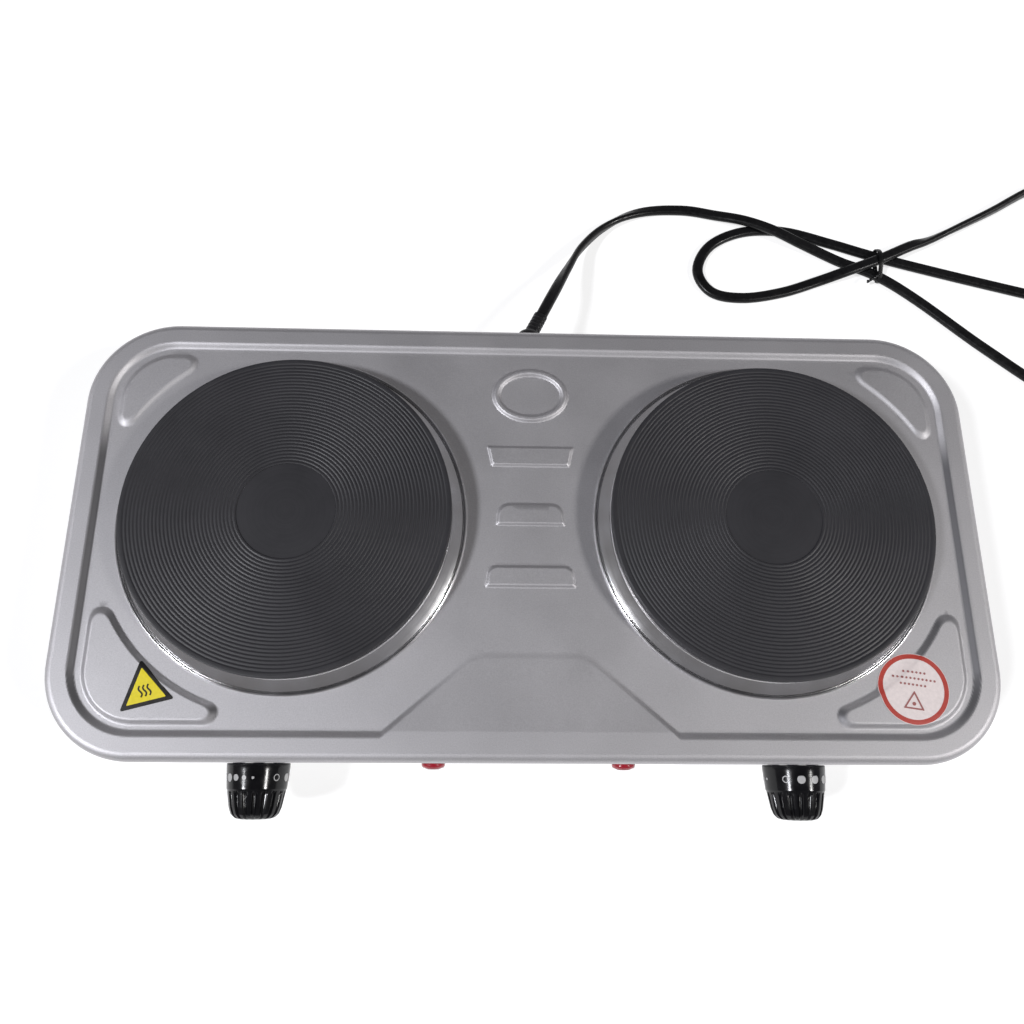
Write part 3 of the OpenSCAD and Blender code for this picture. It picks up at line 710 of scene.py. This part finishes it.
def triangulated(loops, inner, keep):
    """Triangles over closed loops of points and points inside; keep says which centres stay."""
    points, edges = [], []
    for loop in loops:
        first = len(points)
        points += [Vector(p) for p in loop]
        edges += [(first + k, first + (k + 1) % len(loop)) for k in range(len(loop))]
    points += [Vector(p) for p in inner]
    flat, _, triangles, *_ = delaunay_2d_cdt(points, edges, [], 0, 1e-7)
    flat, triangles = np.array([tuple(p) for p in flat]), np.array(triangles)
    triangles = triangles[keep(flat[triangles].mean(axis=1))]
    a, b, c = (flat[triangles[:, k]] for k in range(3))
    across = (b - a)[:, 0] * (c - a)[:, 1] - (b - a)[:, 1] * (c - a)[:, 0]
    triangles[across < 0] = triangles[across < 0][:, ::-1]
    return flat, triangles[np.abs(across) > 1e-12]


def circle(centre, r, count):
    angles = np.arange(count) * 2 * math.pi / count
    return np.stack([centre[0] + r * np.cos(angles), centre[1] + r * np.sin(angles)], axis=-1)


def within_sheet(p, margin):
    v = p[:, 1] - BODY_Y
    inside = to_round_rect(p[:, 0], v, HALF_W - EDGE_R, HALF_D - EDGE_R, CORNER_R - EDGE_R) < -margin
    rho = np.hypot(np.abs(p[:, 0]) - PLATE_X, p[:, 1] - PLATE_Y)
    return inside & (rho > HOLE_R + margin)


def bending_points(spacings, tolerance):
    """Points over the sheet, close together where it bends."""
    chosen = []
    for spacing in spacings:
        x, y = np.meshgrid(np.arange(-HALF_W, HALF_W, spacing), np.arange(FRONT_Y, BACK_Y, spacing))
        p = np.stack([x.ravel(), y.ravel()], axis=-1)
        p = p[within_sheet(p, 0.3 * spacing)]
        if spacing != spacings[0]:
            middle = sheet_z(p[:, 0], p[:, 1])
            bend = np.zeros(len(p))
            for dx, dy in ((1, 0), (0, 1), (1, 1), (1, -1)):
                ahead = sheet_z(p[:, 0] + dx * spacing, p[:, 1] + dy * spacing)
                behind = sheet_z(p[:, 0] - dx * spacing, p[:, 1] - dy * spacing)
                bend = np.maximum(bend, np.abs(ahead + behind - 2 * middle))
            p = p[bend > tolerance]
        chosen.append(p)
    joined = np.concatenate(chosen)
    _, first = np.unique(np.round(joined / (0.05 * MM)).astype(int), axis=0, return_index=True)
    return joined[first]


def top_face():
    places = stations()[:-1]
    holes = [circle((s * PLATE_X, PLATE_Y), HOLE_R, 240) for s in (-1, 1)]
    flat, triangles = triangulated(
        [on_outline(places, EDGE_R), *holes],
        bending_points((6 * MM, 3 * MM, 1.5 * MM, 0.75 * MM), 0.035 * MM),
        lambda p: within_sheet(p, 0),
    )
    points = np.column_stack([flat, sheet_z(flat[:, 0], flat[:, 1])])
    return points, sheet_normals(flat[:, 0], flat[:, 1]), triangles


def skirt():
    """Rolled edge and walls, triangulated on the unrolled outline so that the wall's holes are real."""
    places = stations()
    outer = on_outline(places, 0)
    along = np.concatenate([[0], np.cumsum(np.linalg.norm(np.diff(outer, axis=0), axis=1))])
    bend = math.pi / 2 * EDGE_R
    wall = BORDER_Z - EDGE_R - SKIRT_Z
    down = np.concatenate([np.linspace(0, bend, 9)[1:], bend + np.linspace(0, wall, 6)[1:]])
    back_middle = np.interp(0, *zip(*sorted(
        (x, s) for (x, y), s in zip(outer, along) if y > BACK_Y - 1e-6)))
    first_x = CORNER_R - HALF_W
    holes = [(x - first_x, KNOB_Z, 5 * MM) for x in (-KNOB_X, KNOB_X, -LAMP_X, LAMP_X)]
    screws = [s * KNOB_X + d * 11 * MM for s in (-1, 1) for d in (-1, 1)]
    holes += [(x - first_x, KNOB_Z, 2 * MM) for x in screws]
    holes.append((back_middle, GLAND_Z, 5.5 * MM))
    holes = [(s, bend + BORDER_Z - EDGE_R - z, r) for s, z, r in holes]

    def outside_holes(p, margin):
        clear = np.ones(len(p), bool)
        for s, v, r in holes:
            clear &= np.hypot(p[:, 0] - s, p[:, 1] - v) > r + margin
        return clear

    inner = np.array([(s, v) for s in along[1:-1] for v in down[:-1]])
    inner = inner[outside_holes(inner, 1 * MM)]
    edge = [(s, 0) for s in along] + [(along[-1], v) for v in down[:-1]]
    edge += [(s, down[-1]) for s in along[::-1]] + [(0, v) for v in down[:-1][::-1]]
    loops = [edge, *(circle((s, v), r, 32) for s, v, r in holes)]
    flat, triangles = triangulated(loops, inner, lambda p: outside_holes(p, -0.01 * MM))
    at = np.stack([np.interp(flat[:, 0], along, places[:, k]) for k in range(3)], axis=-1)
    tilt = np.clip(flat[:, 1] / EDGE_R, 0, math.pi / 2)
    xy = on_outline(at, 0) - on_outline(at, 1)
    xy = on_outline(at, EDGE_R) + xy * (EDGE_R * np.sin(tilt))[:, None]
    z = BORDER_Z - EDGE_R + EDGE_R * np.cos(tilt) - np.maximum(flat[:, 1] - bend, 0)
    out = on_outline(at, 0) - on_outline(at, 1)
    normals = np.column_stack([out * np.sin(tilt)[:, None], np.cos(tilt)])
    return np.column_stack([xy, z]), normals, triangles[:, ::-1]


def painted_flank_shade(points, normals):
    """How far painted shade darkens the sheet's colour, on the steep flanks that face the middle of the
    sheet.
    """
    tilt = np.hypot(normals[:, 0], normals[:, 1])
    inward = -normals[:, 0] * np.sign(points[:, 0]) / np.maximum(tilt, 1e-6)
    over_sheet = smooth_step((np.abs(points[:, 0]) - 60 * MM) / (40 * MM))
    v = points[:, 1] - BODY_Y
    over_sheet *= smooth_step((68 * MM - v) / (28 * MM))
    to_edge = to_round_rect(points[:, 0], v, HALF_W - EDGE_R, HALF_D - EDGE_R, CORNER_R - EDGE_R)
    over_sheet *= to_edge < -1 * MM
    return smooth_step((tilt - 0.12) / 0.3) * smooth_step((inward - 0.35) / 0.7) * over_sheet


def make_housing():
    """Joins the top face and the skirt, gives them the sheet's thickness and closes their edges."""
    top, top_normals, top_triangles = top_face()
    side, side_normals, side_triangles = skirt()
    points = np.concatenate([top, side])
    normals = np.concatenate([top_normals, side_normals])
    triangles = np.concatenate([top_triangles, side_triangles + len(top)])
    _, first, merged = np.unique(np.round(points / (0.01 * MM)).astype(int), axis=0, return_index=True,
                                 return_inverse=True)
    points, normals, triangles = points[first], normals[first], merged.ravel()[triangles]
    triangles = triangles[(triangles != np.roll(triangles, 1, axis=1)).all(axis=1)]
    count = len(points)
    directed = np.concatenate([triangles[:, [0, 1]], triangles[:, [1, 2]], triangles[:, [2, 0]]])
    _, index, uses = np.unique(np.sort(directed, axis=1), axis=0, return_index=True, return_counts=True)
    rim = directed[index[uses == 1]]
    rim_faces = np.concatenate([
        np.column_stack([rim[:, 1], rim[:, 0], rim[:, 0] + count]),
        np.column_stack([rim[:, 1], rim[:, 0] + count, rim[:, 1] + count]),
    ])
    faces = np.concatenate([triangles, triangles[:, ::-1] + count, rim_faces])
    shell = np.concatenate([points, points - SHEET_T * normals])
    housing = piece("housing", shell, faces, "cooker", "steel_sheet", ["top_housing"], sharp=0)
    a, b, c = (shell[rim_faces[:, k]] for k in range(3))
    flat_normals = np.cross(b - a, c - a)
    flat_normals /= np.linalg.norm(flat_normals, axis=1)[:, None]
    loops = np.concatenate([
        normals[triangles].reshape(-1, 3),
        -normals[triangles[:, ::-1]].reshape(-1, 3),
        np.repeat(flat_normals, 3, axis=0),
    ])
    housing.data.normals_split_custom_set(loops.tolist())
    # Painted shade: the share by which the sheet's colour is darkened on its inward flanks, kept on the mesh
    # for the material.
    painted_shade = np.tile(painted_flank_shade(points, normals), 2)
    attribute = housing.data.attributes.new("painted_shade", "FLOAT", "POINT")
    attribute.data.foreach_set("value", painted_shade.astype(np.float32))


# ---- hot plates and trim rings

def plate_profile():
    """Half section of the cast plate: pocket below, shoulder, and turned grooves on top."""
    shoulder = PLATE_Z - 6 * MM
    body_r, disc_r, hub_r, stud_r = PLATE_R - 4.5 * MM, 27 * MM, 13 * MM, 3 * MM
    pocket_r = body_r - 3.5 * MM
    under = fillet([
        (stud_r, PLATE_Z - 4 * MM), (stud_r, RIM_Z), (hub_r, RIM_Z), (hub_r, shoulder), (pocket_r, shoulder),
        (pocket_r, RIM_Z), (body_r, RIM_Z), (body_r, shoulder), (PLATE_R, shoulder),
        (PLATE_R, PLATE_Z), (PLATE_R - 1.6 * MM, PLATE_Z),
    ], 0.9 * MM, 4, closed=False)
    pitch, depth = 2 * MM, 0.26 * MM
    groove = [(0, 0.02), (0.14, 0.2), (0.27, 0.8), (0.36, 1),
              (0.48, 1), (0.57, 0.8), (0.7, 0.2), (0.84, 0.02)]
    grooves = []
    r = PLATE_R - 2.4 * MM
    while r > disc_r + 2.2 * MM:
        grooves += [(r - across * pitch, PLATE_Z - down * depth) for across, down in groove]
        r -= pitch
    sunk = PLATE_Z - 0.6 * MM
    disc = [(disc_r + 0.5 * MM, PLATE_Z), (disc_r, PLATE_Z - 0.15 * MM), (disc_r - 0.3 * MM, sunk),
            (disc_r - 1 * MM, sunk)]
    disc += [(disc_r * k / 12, sunk) for k in range(11, 0, -1)]
    return under + grooves + disc


def close_axis(points, faces, first, ring_size, height):
    """Adds a centre point that closes a ring of points."""
    points = np.vstack([points, [(0, 0, height)]])
    centre = len(points) - 1
    return points, faces + [(first + (k + 1) % ring_size, centre, first + k) for k in range(ring_size)]


def make_plates():
    profile = plate_profile()
    segments = 192
    points, faces = revolved(profile, segments, closed=False)
    points, faces = close_axis(points, [f[::-1] for f in faces], (len(profile) - 1) * segments, segments,
                               profile[-1][1])
    points, faces2 = close_axis(points, [], 0, segments, profile[0][1])
    faces = [f[::-1] for f in faces] + faces2
    for side, s in (("left", -1), ("right", 1)):
        piece(f"plate_{side}", points, faces, "cooker", "cast_iron", [f"hot_plate_{side}"],
              origin=(s * PLATE_X, PLATE_Y, 0), sharp=24)


def thick_profile(line, t):
    """Closed section of a sheet of thickness t whose outer face follows a line."""
    line = np.array(line)
    ahead = np.gradient(line, axis=0)
    ahead /= np.linalg.norm(ahead, axis=1)[:, None]
    inner = line - t * np.stack([ahead[:, 1], -ahead[:, 0]], axis=-1)
    return np.concatenate([line, inner[::-1]])


def make_trim_rings():
    """Polished ring: tucked under the plate, a steep cone, a flange and a rolled lip."""
    top = ring_hi.z
    foot = ring_lo.z
    line = fillet([
        (86.2 * MM, top), (88.3 * MM, top), (88.4 * MM, foot + 6.4 * MM), (89.3 * MM, foot + 5.2 * MM),
        (91.3 * MM, foot + 3.6 * MM), (93.4 * MM, foot + 2 * MM), (95.2 * MM, foot + 0.8 * MM),
        (95.9 * MM, foot + 0.45 * MM), (96.2 * MM, foot + 1.1 * MM), (96.6 * MM, foot + 1.3 * MM),
        (97.2 * MM, foot + 1.3 * MM), (97.6 * MM, foot + 0.8 * MM), (97.6 * MM, foot + 0.05 * MM),
    ], 0.9 * MM, 4, closed=False)
    points, faces = revolved(thick_profile(line, 0.5 * MM), 192)
    faces = [f[::-1] for f in faces]
    for side, s in (("left", -1), ("right", 1)):
        piece(f"ring_{side}", points, faces, "cooker", "trim_steel", [f"trim_ring_{side}"],
              origin=(s * PLATE_X, PLATE_Y, 0), sharp=40)


# ---- knobs and lamps

FLUTES = 18


def knob_profile():
    """Radius and reach along the knob's outside, from the wall side to the tip."""
    r, tip = KNOB_R, KNOB_REACH
    return fillet([
        (6 * MM, 5.5 * MM), (r - 2.2 * MM, 5.5 * MM), (r - 2 * MM, 0.3 * MM), (r, 0.3 * MM),
        (r, 2.4 * MM), (r - 1.0 * MM, 13.6 * MM), (r - 1.4 * MM, 14.2 * MM), (r - 3 * MM, 23 * MM),
        (r - 4.2 * MM, 26.3 * MM), (r - 6.2 * MM, 28.3 * MM), (r - 8.6 * MM, tip), (5 * MM, tip),
        (4.4 * MM, tip - 0.4 * MM), (1 * MM, tip - 0.4 * MM),
    ], 0.7 * MM, 4, closed=False)


def radius_at(profile, reach):
    rising = [(h, r) for r, h in profile if r > KNOB_R - 3.5 * MM and h > 2 * MM]
    return float(np.interp(reach, *zip(*rising)))


def make_knobs():
    profile = knob_profile()
    dense = []
    for (r0, h0), (r1, h1) in zip(profile, profile[1:]):
        steps = max(1, math.ceil(math.dist((r0, h0), (r1, h1)) / (0.8 * MM)))
        dense += [(r0 + (r1 - r0) * k / steps, h0 + (h1 - h0) * k / steps) for k in range(steps)]
    dense.append(profile[-1])
    segments = FLUTES * 14
    points, faces = revolved(dense, segments, closed=False)
    angle = np.arctan2(points[:, 1], points[:, 0])
    rho = np.hypot(points[:, 0], points[:, 1])
    phase = np.abs((angle * FLUTES / (2 * math.pi) + 0.5) % 1 - 0.5) * 2
    outside = smooth_step((rho - 7.5 * MM) / (3 * MM))
    along = smooth_step((points[:, 2] - 14.6 * MM) / (0.9 * MM)) * outside
    depth = 1.25 * MM * np.sqrt(np.clip(1 - (phase / 0.46) ** 2, 0, 1)) * along
    points[:, :2] *= ((rho - depth) / np.maximum(rho, 1e-9))[:, None]
    points, faces = close_axis(points, faces, (len(dense) - 1) * segments, segments, dense[-1][1])
    points = out_of_front(points)
    for side, s, off_mark in (("left", -1, 50), ("right", 1, -35)):
        body, place = f"{side}_knob", (s * KNOB_X, FRONT_Y, KNOB_Z)
        piece(f"knob_{side}_grip", points, faces, body, "knob_plastic", [f"knob_{side}"],
              origin=place, sharp=30)
        make_marks(f"knob_{side}_marks", profile, body, place, off_mark)


def make_marks(name, profile, body, place, off_mark):
    """Printed scale round the knob: an open ring for off, then dots that grow."""
    middle, lift = 7.6 * MM, 0.09 * MM
    points, faces = [], []

    def patch(angle, inner, outer):
        first, around = len(points), 28
        rings = np.linspace(inner, outer, 9)
        for r in rings:
            for k in range(around):
                a = 2 * math.pi * k / around
                reach = middle + r * math.sin(a)
                rho = radius_at(profile, reach) + lift
                turn = math.radians(angle) + r * math.cos(a) / rho
                points.append((rho * math.sin(turn), -reach, rho * math.cos(turn)))
        faces.extend(grid_faces(len(rings), around, start=first))

    patch(off_mark, 1.35 * MM, 1.85 * MM)
    for k in range(14):
        patch(off_mark - 45 - 16.5 * k - 0.46 * k * (k - 1), 0.02 * MM, min(2.2, 0.7 + 0.5 * k) * MM)
    made = piece(name, points, faces, body, "knob_plastic", origin=place, sharp=0)
    made.data.materials.clear()
    made.data.materials.append(INK_WHITE)


def make_lenses():
    """Lamp lens: rounded flange, ring steps and a low dome over the stem."""
    profile = fillet([
        (4.9 * MM, -6 * MM), (4.9 * MM, 0.02 * MM), (LENS_R, 0.02 * MM), (LENS_R, 1.4 * MM),
        (5.7 * MM, 2.5 * MM), (5.0 * MM, 2.3 * MM), (4.6 * MM, 2.9 * MM), (3.9 * MM, 2.8 * MM),
        (3.5 * MM, 3.3 * MM), (0.5 * MM, 3.5 * MM),
    ], 0.5 * MM, 4, closed=False)
    segments = 72
    points, faces = revolved(profile, segments, closed=False)
    points, faces = close_axis(points, faces, (len(profile) - 1) * segments, segments, profile[-1][1])
    turn = Matrix.Rotation(math.pi / 2, 4, "X")
    for side, s in (("left", -1), ("right", 1)):
        lens = piece(f"lens_{side}", points, faces, "cooker", "lens_red", [f"lamp_lens_{side}"], sharp=35)
        lens.matrix_world = Matrix.Translation((s * LAMP_X, FRONT_Y, KNOB_Z)) @ turn


# ---- cord, strain relief, tie and plug

def stadium(w, t, steps=8):
    return rounded_section(w, t, t / 2 - 1e-6, steps)


def make_cord():
    path = smoothed(CORD_ROUTE, 7)
    roll = path[:, 3]
    low = CORD_T / 2 + (CORD_W - CORD_T) / 2 * np.abs(np.sin(np.radians(roll)))
    path[:, 2] = np.maximum(path[:, 2], low)
    section = stadium(CORD_W, CORD_T)
    points, faces = swept(path[:, :3], lambda share: section, roll)
    return piece("cord", points, faces, "cooker", "cord_pvc", ["mains_cord"], sharp=0), path[:, :3]


def sleeve_axis(distance):
    level = math.cos(GLAND_DIP)
    heading = Vector((math.sin(GLAND_TURN) * level, math.cos(GLAND_TURN) * level, -math.sin(GLAND_DIP)))
    return Vector((0, BACK_Y + 5 * MM, GLAND_Z)) + distance * heading


def make_strain_relief():
    """Moulded bush: flange inside the wall, dome outside, ribbed sleeve that narrows onto the cord."""
    dome = fillet([
        (1 * MM, -3.8 * MM), (7.5 * MM, -3.8 * MM), (8 * MM, -3 * MM), (8 * MM, -SHEET_T),
        (5.5 * MM, -SHEET_T), (5.5 * MM, 0), (7.6 * MM, 0), (7.6 * MM, 3 * MM), (7.1 * MM, 6.5 * MM),
        (5.8 * MM, 8.8 * MM), (1 * MM, 9 * MM),
    ], 1.3 * MM, 5, closed=False)
    segments = 48
    points, faces = revolved(dome, segments, closed=False)
    points, faces = close_axis(points, faces, (len(dome) - 1) * segments, segments, dome[-1][1])
    points = out_of_front(points) * (1, -1, 1) + (0, BACK_Y, GLAND_Z)
    faces = [f[::-1] for f in faces]
    path, wide = [], []
    for k in range(61):
        share = k / 60
        path.append(sleeve_axis(SLEEVE_LEN * share))
        rib = 0.3 * MM * float(smooth_step(1.6 * abs(math.sin(math.pi * share * 7)) - 0.3))
        wide.append(3.8 * MM - 0.5 * MM * share + (rib if 0.2 < share < 0.95 else 0.3 * MM))

    def section(share):
        r = wide[round(share * 60)]
        flat = 0.12 + 0.1 * share
        return rounded_section(2 * r * (1 + flat), 2 * r * (1 - flat), r * (1 - flat) * 0.98, 7)

    tube, tube_faces = swept(path, section)
    faces += [tuple(i + len(points) for i in f) for f in tube_faces]
    points = np.vstack([points, tube])
    return piece("strain_relief_bush", points, faces, "cooker", "bush_rubber", ["strain_relief"], sharp=50)


def make_tie():
    """Twist tie: a thin band round the three strands and its two ends twisted together."""
    x = (tie_lo.x + tie_hi.x) / 2
    loop = smoothed([(y * MM, z * MM, 0) for y, z in (
        (214.2, 4.0), (216, 0.9), (226, 0.75), (236.5, 0.9), (238.7, 4.2), (237, 8.4), (232, 10.9),
        (226.5, 10.6), (220, 7.4), (214.2, 4.0))], 6)[:-1]
    middle = loop[:, :2].mean(axis=0)
    rows, points = len(loop), []
    for side, lift in ((-1.5, -0.35), (-1.5, 0.35), (0, 0.55), (1.5, 0.35), (1.5, -0.35), (0, -0.35)):
        for p in loop[:, :2]:
            out = (p - middle) / np.linalg.norm(p - middle)
            q = p + out * lift * MM
            points.append((x + side * MM, q[0], q[1]))
    faces = grid_faces(6, rows, close_rows=True)
    start = Vector((x - 0.6 * MM, 218 * MM, 8.6 * MM))
    heading = Vector((-0.83, -0.5, -0.22)).normalized()
    across, up = heading.cross((0, 0, 1)).normalized(), Vector((0, 0, 1))
    for phase in (0, math.pi):
        path = []
        for k in range(40):
            share = k / 39
            a = phase + share * 5.5 * math.pi
            coil = math.cos(a) * across + math.sin(a) * up
            path.append(start + heading * share * 11 * MM + 0.6 * MM * coil)
        wire, wire_faces = swept(path, lambda share: rounded_section(1.1 * MM, 0.9 * MM, 0.44 * MM, 2))
        faces += [tuple(i + len(points) for i in f) for f in wire_faces]
        points += [tuple(p) for p in wire]
    return piece("twist_tie", points, faces, "cooker", "cord_pvc", ["cord_tie"], sharp=40)


def make_plug():
    """Moulded plug: ribbed sleeve on the cord, waisted grip with side ridges, flat face."""
    end, face = CORD_ROUTE[-1], plug_lo.y
    x, z = end[0], end[2]
    long = end[1] - face
    path, sections = [], []
    count = 120
    sleeve = 22 * MM
    for k in range(count + 1):
        reach = long * k / count
        path.append((x, end[1] - reach, z))
        grow = float(smooth_step((reach - 19 * MM) / (7 * MM)))
        rib = 0.5 * MM * float(smooth_step(1.5 * abs(math.sin(math.pi * reach / (4 * MM))) - 0.25))
        rib = rib if 2 * MM < reach < sleeve - 3 * MM else 0.5 * MM
        thin = 3.7 * MM + 1.2 * MM * reach / sleeve + rib
        grip = float(smooth_step(1.2 * abs(math.sin(math.pi * reach / (2.6 * MM))) - 0.1))
        ridge = 0.45 * MM * grip if 31 * MM < reach < 42 * MM else 0.45 * MM
        waist = 1.6 * MM * math.sin(math.pi * min(1, max(0, (reach - 26 * MM) / (20 * MM))))
        half_w = thin * 1.05 + grow * (11.55 * MM + ridge - thin * 1.05 - waist)
        half_h = thin * 0.92 + grow * (8.5 * MM - thin * 0.92 - 0.4 * waist)
        close = 1.1 * MM * max(0.0, (reach - long + 1.1 * MM) / (1.1 * MM)) ** 2
        sections.append((half_w - close, half_h - close))

    def section(share):
        half_w, half_h = sections[round(share * count)]
        r = min(half_w, half_h) * 0.97
        r = r + (min(5 * MM, half_h * 0.6) - r) * float(smooth_step((share * long - 19 * MM) / (8 * MM)))
        return rounded_section(2 * half_w, 2 * half_h, r, 7)

    points, faces = swept(path, section)
    return piece("plug_moulding", points, faces, "cooker", "bush_rubber", ["plug_body"], sharp=40)


def make_blades():
    """Two flat blades with bevelled tips and a round hole near each tip."""
    length, high, thick = blade_hi.y - blade_lo.y + 1 * MM, blade_hi.z - blade_lo.z, 1.5 * MM
    outline = [(0, -high / 2), (length - 2.2 * MM, -high / 2), (length, -high / 2 + 1.5 * MM),
               (length, high / 2 - 1.5 * MM), (length - 2.2 * MM, high / 2), (0, high / 2)]
    hole_at = length - 4.2 * MM

    def keep(p):
        return np.hypot(p[:, 0] - hole_at, p[:, 1]) > 1.55 * MM

    flat, triangles = triangulated([outline, circle((hole_at, 0), 1.6 * MM, 24)], [], keep)
    points, faces = [], []
    root, middle = blade_hi.y + 1 * MM, (blade_lo + blade_hi) / 2
    for s in (-1, 1):
        for face in (-1, 1):
            first = len(points)
            x = middle.x + s * 6.35 * MM + face * thick / 2
            points += [(x, root - u, middle.z + v) for u, v in flat]
            faces += [tuple(int(i) + first for i in (t if face > 0 else t[::-1])) for t in triangles]
        count = len(flat)
        first = len(points) - 2 * count
        directed = {(int(t[k]), int(t[(k + 1) % 3])) for t in triangles for k in range(3)}
        faces += [(first + a, first + count + a, first + count + b, first + b)
                  for a, b in directed if (b, a) not in directed]
    return piece("plug_pins", points, faces, "cooker", "brass", ["plug_blades"], sharp=30)


# ---- labels

def film(outlines, lift, spacing=0.7 * MM):
    """Points and faces of a thin film laid over the sheet, stiff enough to round off its steps.

    The outlines are an edge and its holes."""
    edge = np.array(outlines[0])

    def inside(p, margin=0.0):
        result = in_polygon(p, edge, margin)
        for hole in outlines[1:]:
            result &= ~in_polygon(p, np.array(hole), -margin)
        return result

    (x0, y0), (x1, y1) = edge.min(axis=0), edge.max(axis=0)
    x, y = np.meshgrid(np.arange(x0, x1, spacing), np.arange(y0, y1, spacing))
    grid = np.stack([x.ravel(), y.ravel()], axis=-1)
    flat, triangles = triangulated(outlines, grid[inside(grid, 0.3 * spacing)], inside)
    near = sheet_z(flat[:, 0], flat[:, 1])
    ways = np.arange(0, 6.2, 0.7)
    shifts = 3 * MM * np.stack([np.cos(ways), np.sin(ways)], axis=-1)
    around = np.mean([sheet_z(*(flat + shift).T) for shift in shifts], axis=0)
    return np.column_stack([flat, smooth_max(near, around, 0.4 * MM) + lift]), triangles


def in_polygon(p, corners, margin=0.0):
    """Whether points lie in a polygon, at least margin from its edges."""
    inside = np.zeros(len(p), bool)
    far = np.full(len(p), np.inf)
    for (ax, ay), (bx, by) in zip(corners, np.roll(corners, -1, axis=0)):
        crosses = (ay > p[:, 1]) != (by > p[:, 1])
        inside ^= crosses & (p[:, 0] < (bx - ax) * (p[:, 1] - ay) / ((by - ay) or 1e-12) + ax)
        side = (bx - ax, by - ay)
        t = np.clip(((p - (ax, ay)) @ side) / max(side[0] ** 2 + side[1] ** 2, 1e-18), 0, 1)
        far = np.minimum(far, np.hypot(p[:, 0] - ax - t * (bx - ax), p[:, 1] - ay - t * (by - ay)))
    return inside & (far > margin)


def label(name, node, slot, layers, inks):
    """Film label with printed layers; each layer is (ink number, outlines)."""
    points, faces, ink_of = [], [], []
    for depth, (ink, outlines) in enumerate(layers):
        p, f = film(outlines, (0.08 + 0.1 * min(depth, 2)) * MM)
        faces += [tuple(int(i) + len(points) for i in t) for t in f]
        points += [tuple(q) for q in p]
        ink_of += [ink] * len(f)
    return piece(name, points, faces, "cooker", slot, [node], sharp=0, inks=inks, ink_of=ink_of)


def turned(points, angle, centre):
    c, s = math.cos(math.radians(angle)), math.sin(math.radians(angle))
    return [(centre[0] + x * c - y * s, centre[1] + x * s + y * c) for x, y in points]


def round_triangle(r, bend):
    corners = [(r * math.cos(math.radians(a)), r * math.sin(math.radians(a))) for a in (90, 210, 330)]
    return [tuple(p) for p in fillet(corners, bend, 5)]


def stroke(points, width):
    """Outline of a line of even width."""
    points = np.array(points)
    ahead = np.gradient(points, axis=0)
    ahead /= np.linalg.norm(ahead, axis=1)[:, None]
    side = np.stack([-ahead[:, 1], ahead[:, 0]], axis=-1) * width / 2
    return [tuple(p) for p in np.concatenate([points - side, (points + side)[::-1]])]


def heat_wave(x, low, high):
    """Plain rising wave."""
    rise = np.linspace(0, 1, 14)
    swing = x + 0.75 * MM * np.sin(rise * 2 * math.pi)
    return stroke(np.stack([swing, low + (high - low) * rise], axis=-1), 0.85 * MM)


def make_labels():
    centre, lean = (-203.7 * MM, -75 * MM), 14.5
    edge = round_triangle(16.4 * MM, 1.8 * MM)
    yellow = round_triangle(12.0 * MM, 0.8 * MM)
    layers = [(1, [turned(edge, lean, centre)]), (0, [turned(yellow, lean, centre)])]
    layers += [(1, [turned(heat_wave(x * MM, -3.4 * MM, 2.6 * MM), lean, centre)]) for x in (-2.3, 0, 2.3)]
    label("label_left", "caution_label_left", "label_yellow", layers, [INK_BLACK])
    centre, lean = (208 * MM, -71.8 * MM), -8
    disc = circle((0, 0), 19.2 * MM, 96)
    band = circle((0, 0), 16.4 * MM, 96)
    layers = [(0, [turned(disc, lean, centre)])]
    layers.append((1, [turned(disc * 0.985, lean, centre), turned(band, lean, centre)]))
    for y, half in ((9.0, 5.6), (5.6, 11.0), (2.2, 7.4)):
        dots = np.arange(-half, half + 0.1, 2.2)
        layers += [(2, [turned(circle((x * MM, y * MM), 0.62 * MM, 10), lean, centre)]) for x in dots]
    mark = np.array(round_triangle(6.6 * MM, 0.6 * MM)) - (0, 7.6 * MM)
    hollow = np.array(round_triangle(4.9 * MM, 0.4 * MM)) - (0, 7.6 * MM)
    layers.append((2, [turned(mark, lean, centre), turned(hollow, lean, centre)]))
    layers.append((2, [turned(circle((0, -8.0 * MM), 1.0 * MM, 14), lean, centre)]))
    faded = printed("ink_faded", (0.36, 0.13, 0.12))
    label("label_right", "caution_label_right", "label_red", layers, [INK_RED, faded])


# ---- the scene

make_camera()
cord, cord_line = make_cord()
relief = make_strain_relief()
tie = make_tie()
plug = make_plug()
blades = make_blades()
make_light()
make_floor()
dress_cad_nodes()
make_housing()
make_plates()
make_trim_rings()
make_knobs()
make_lenses()
make_labels()
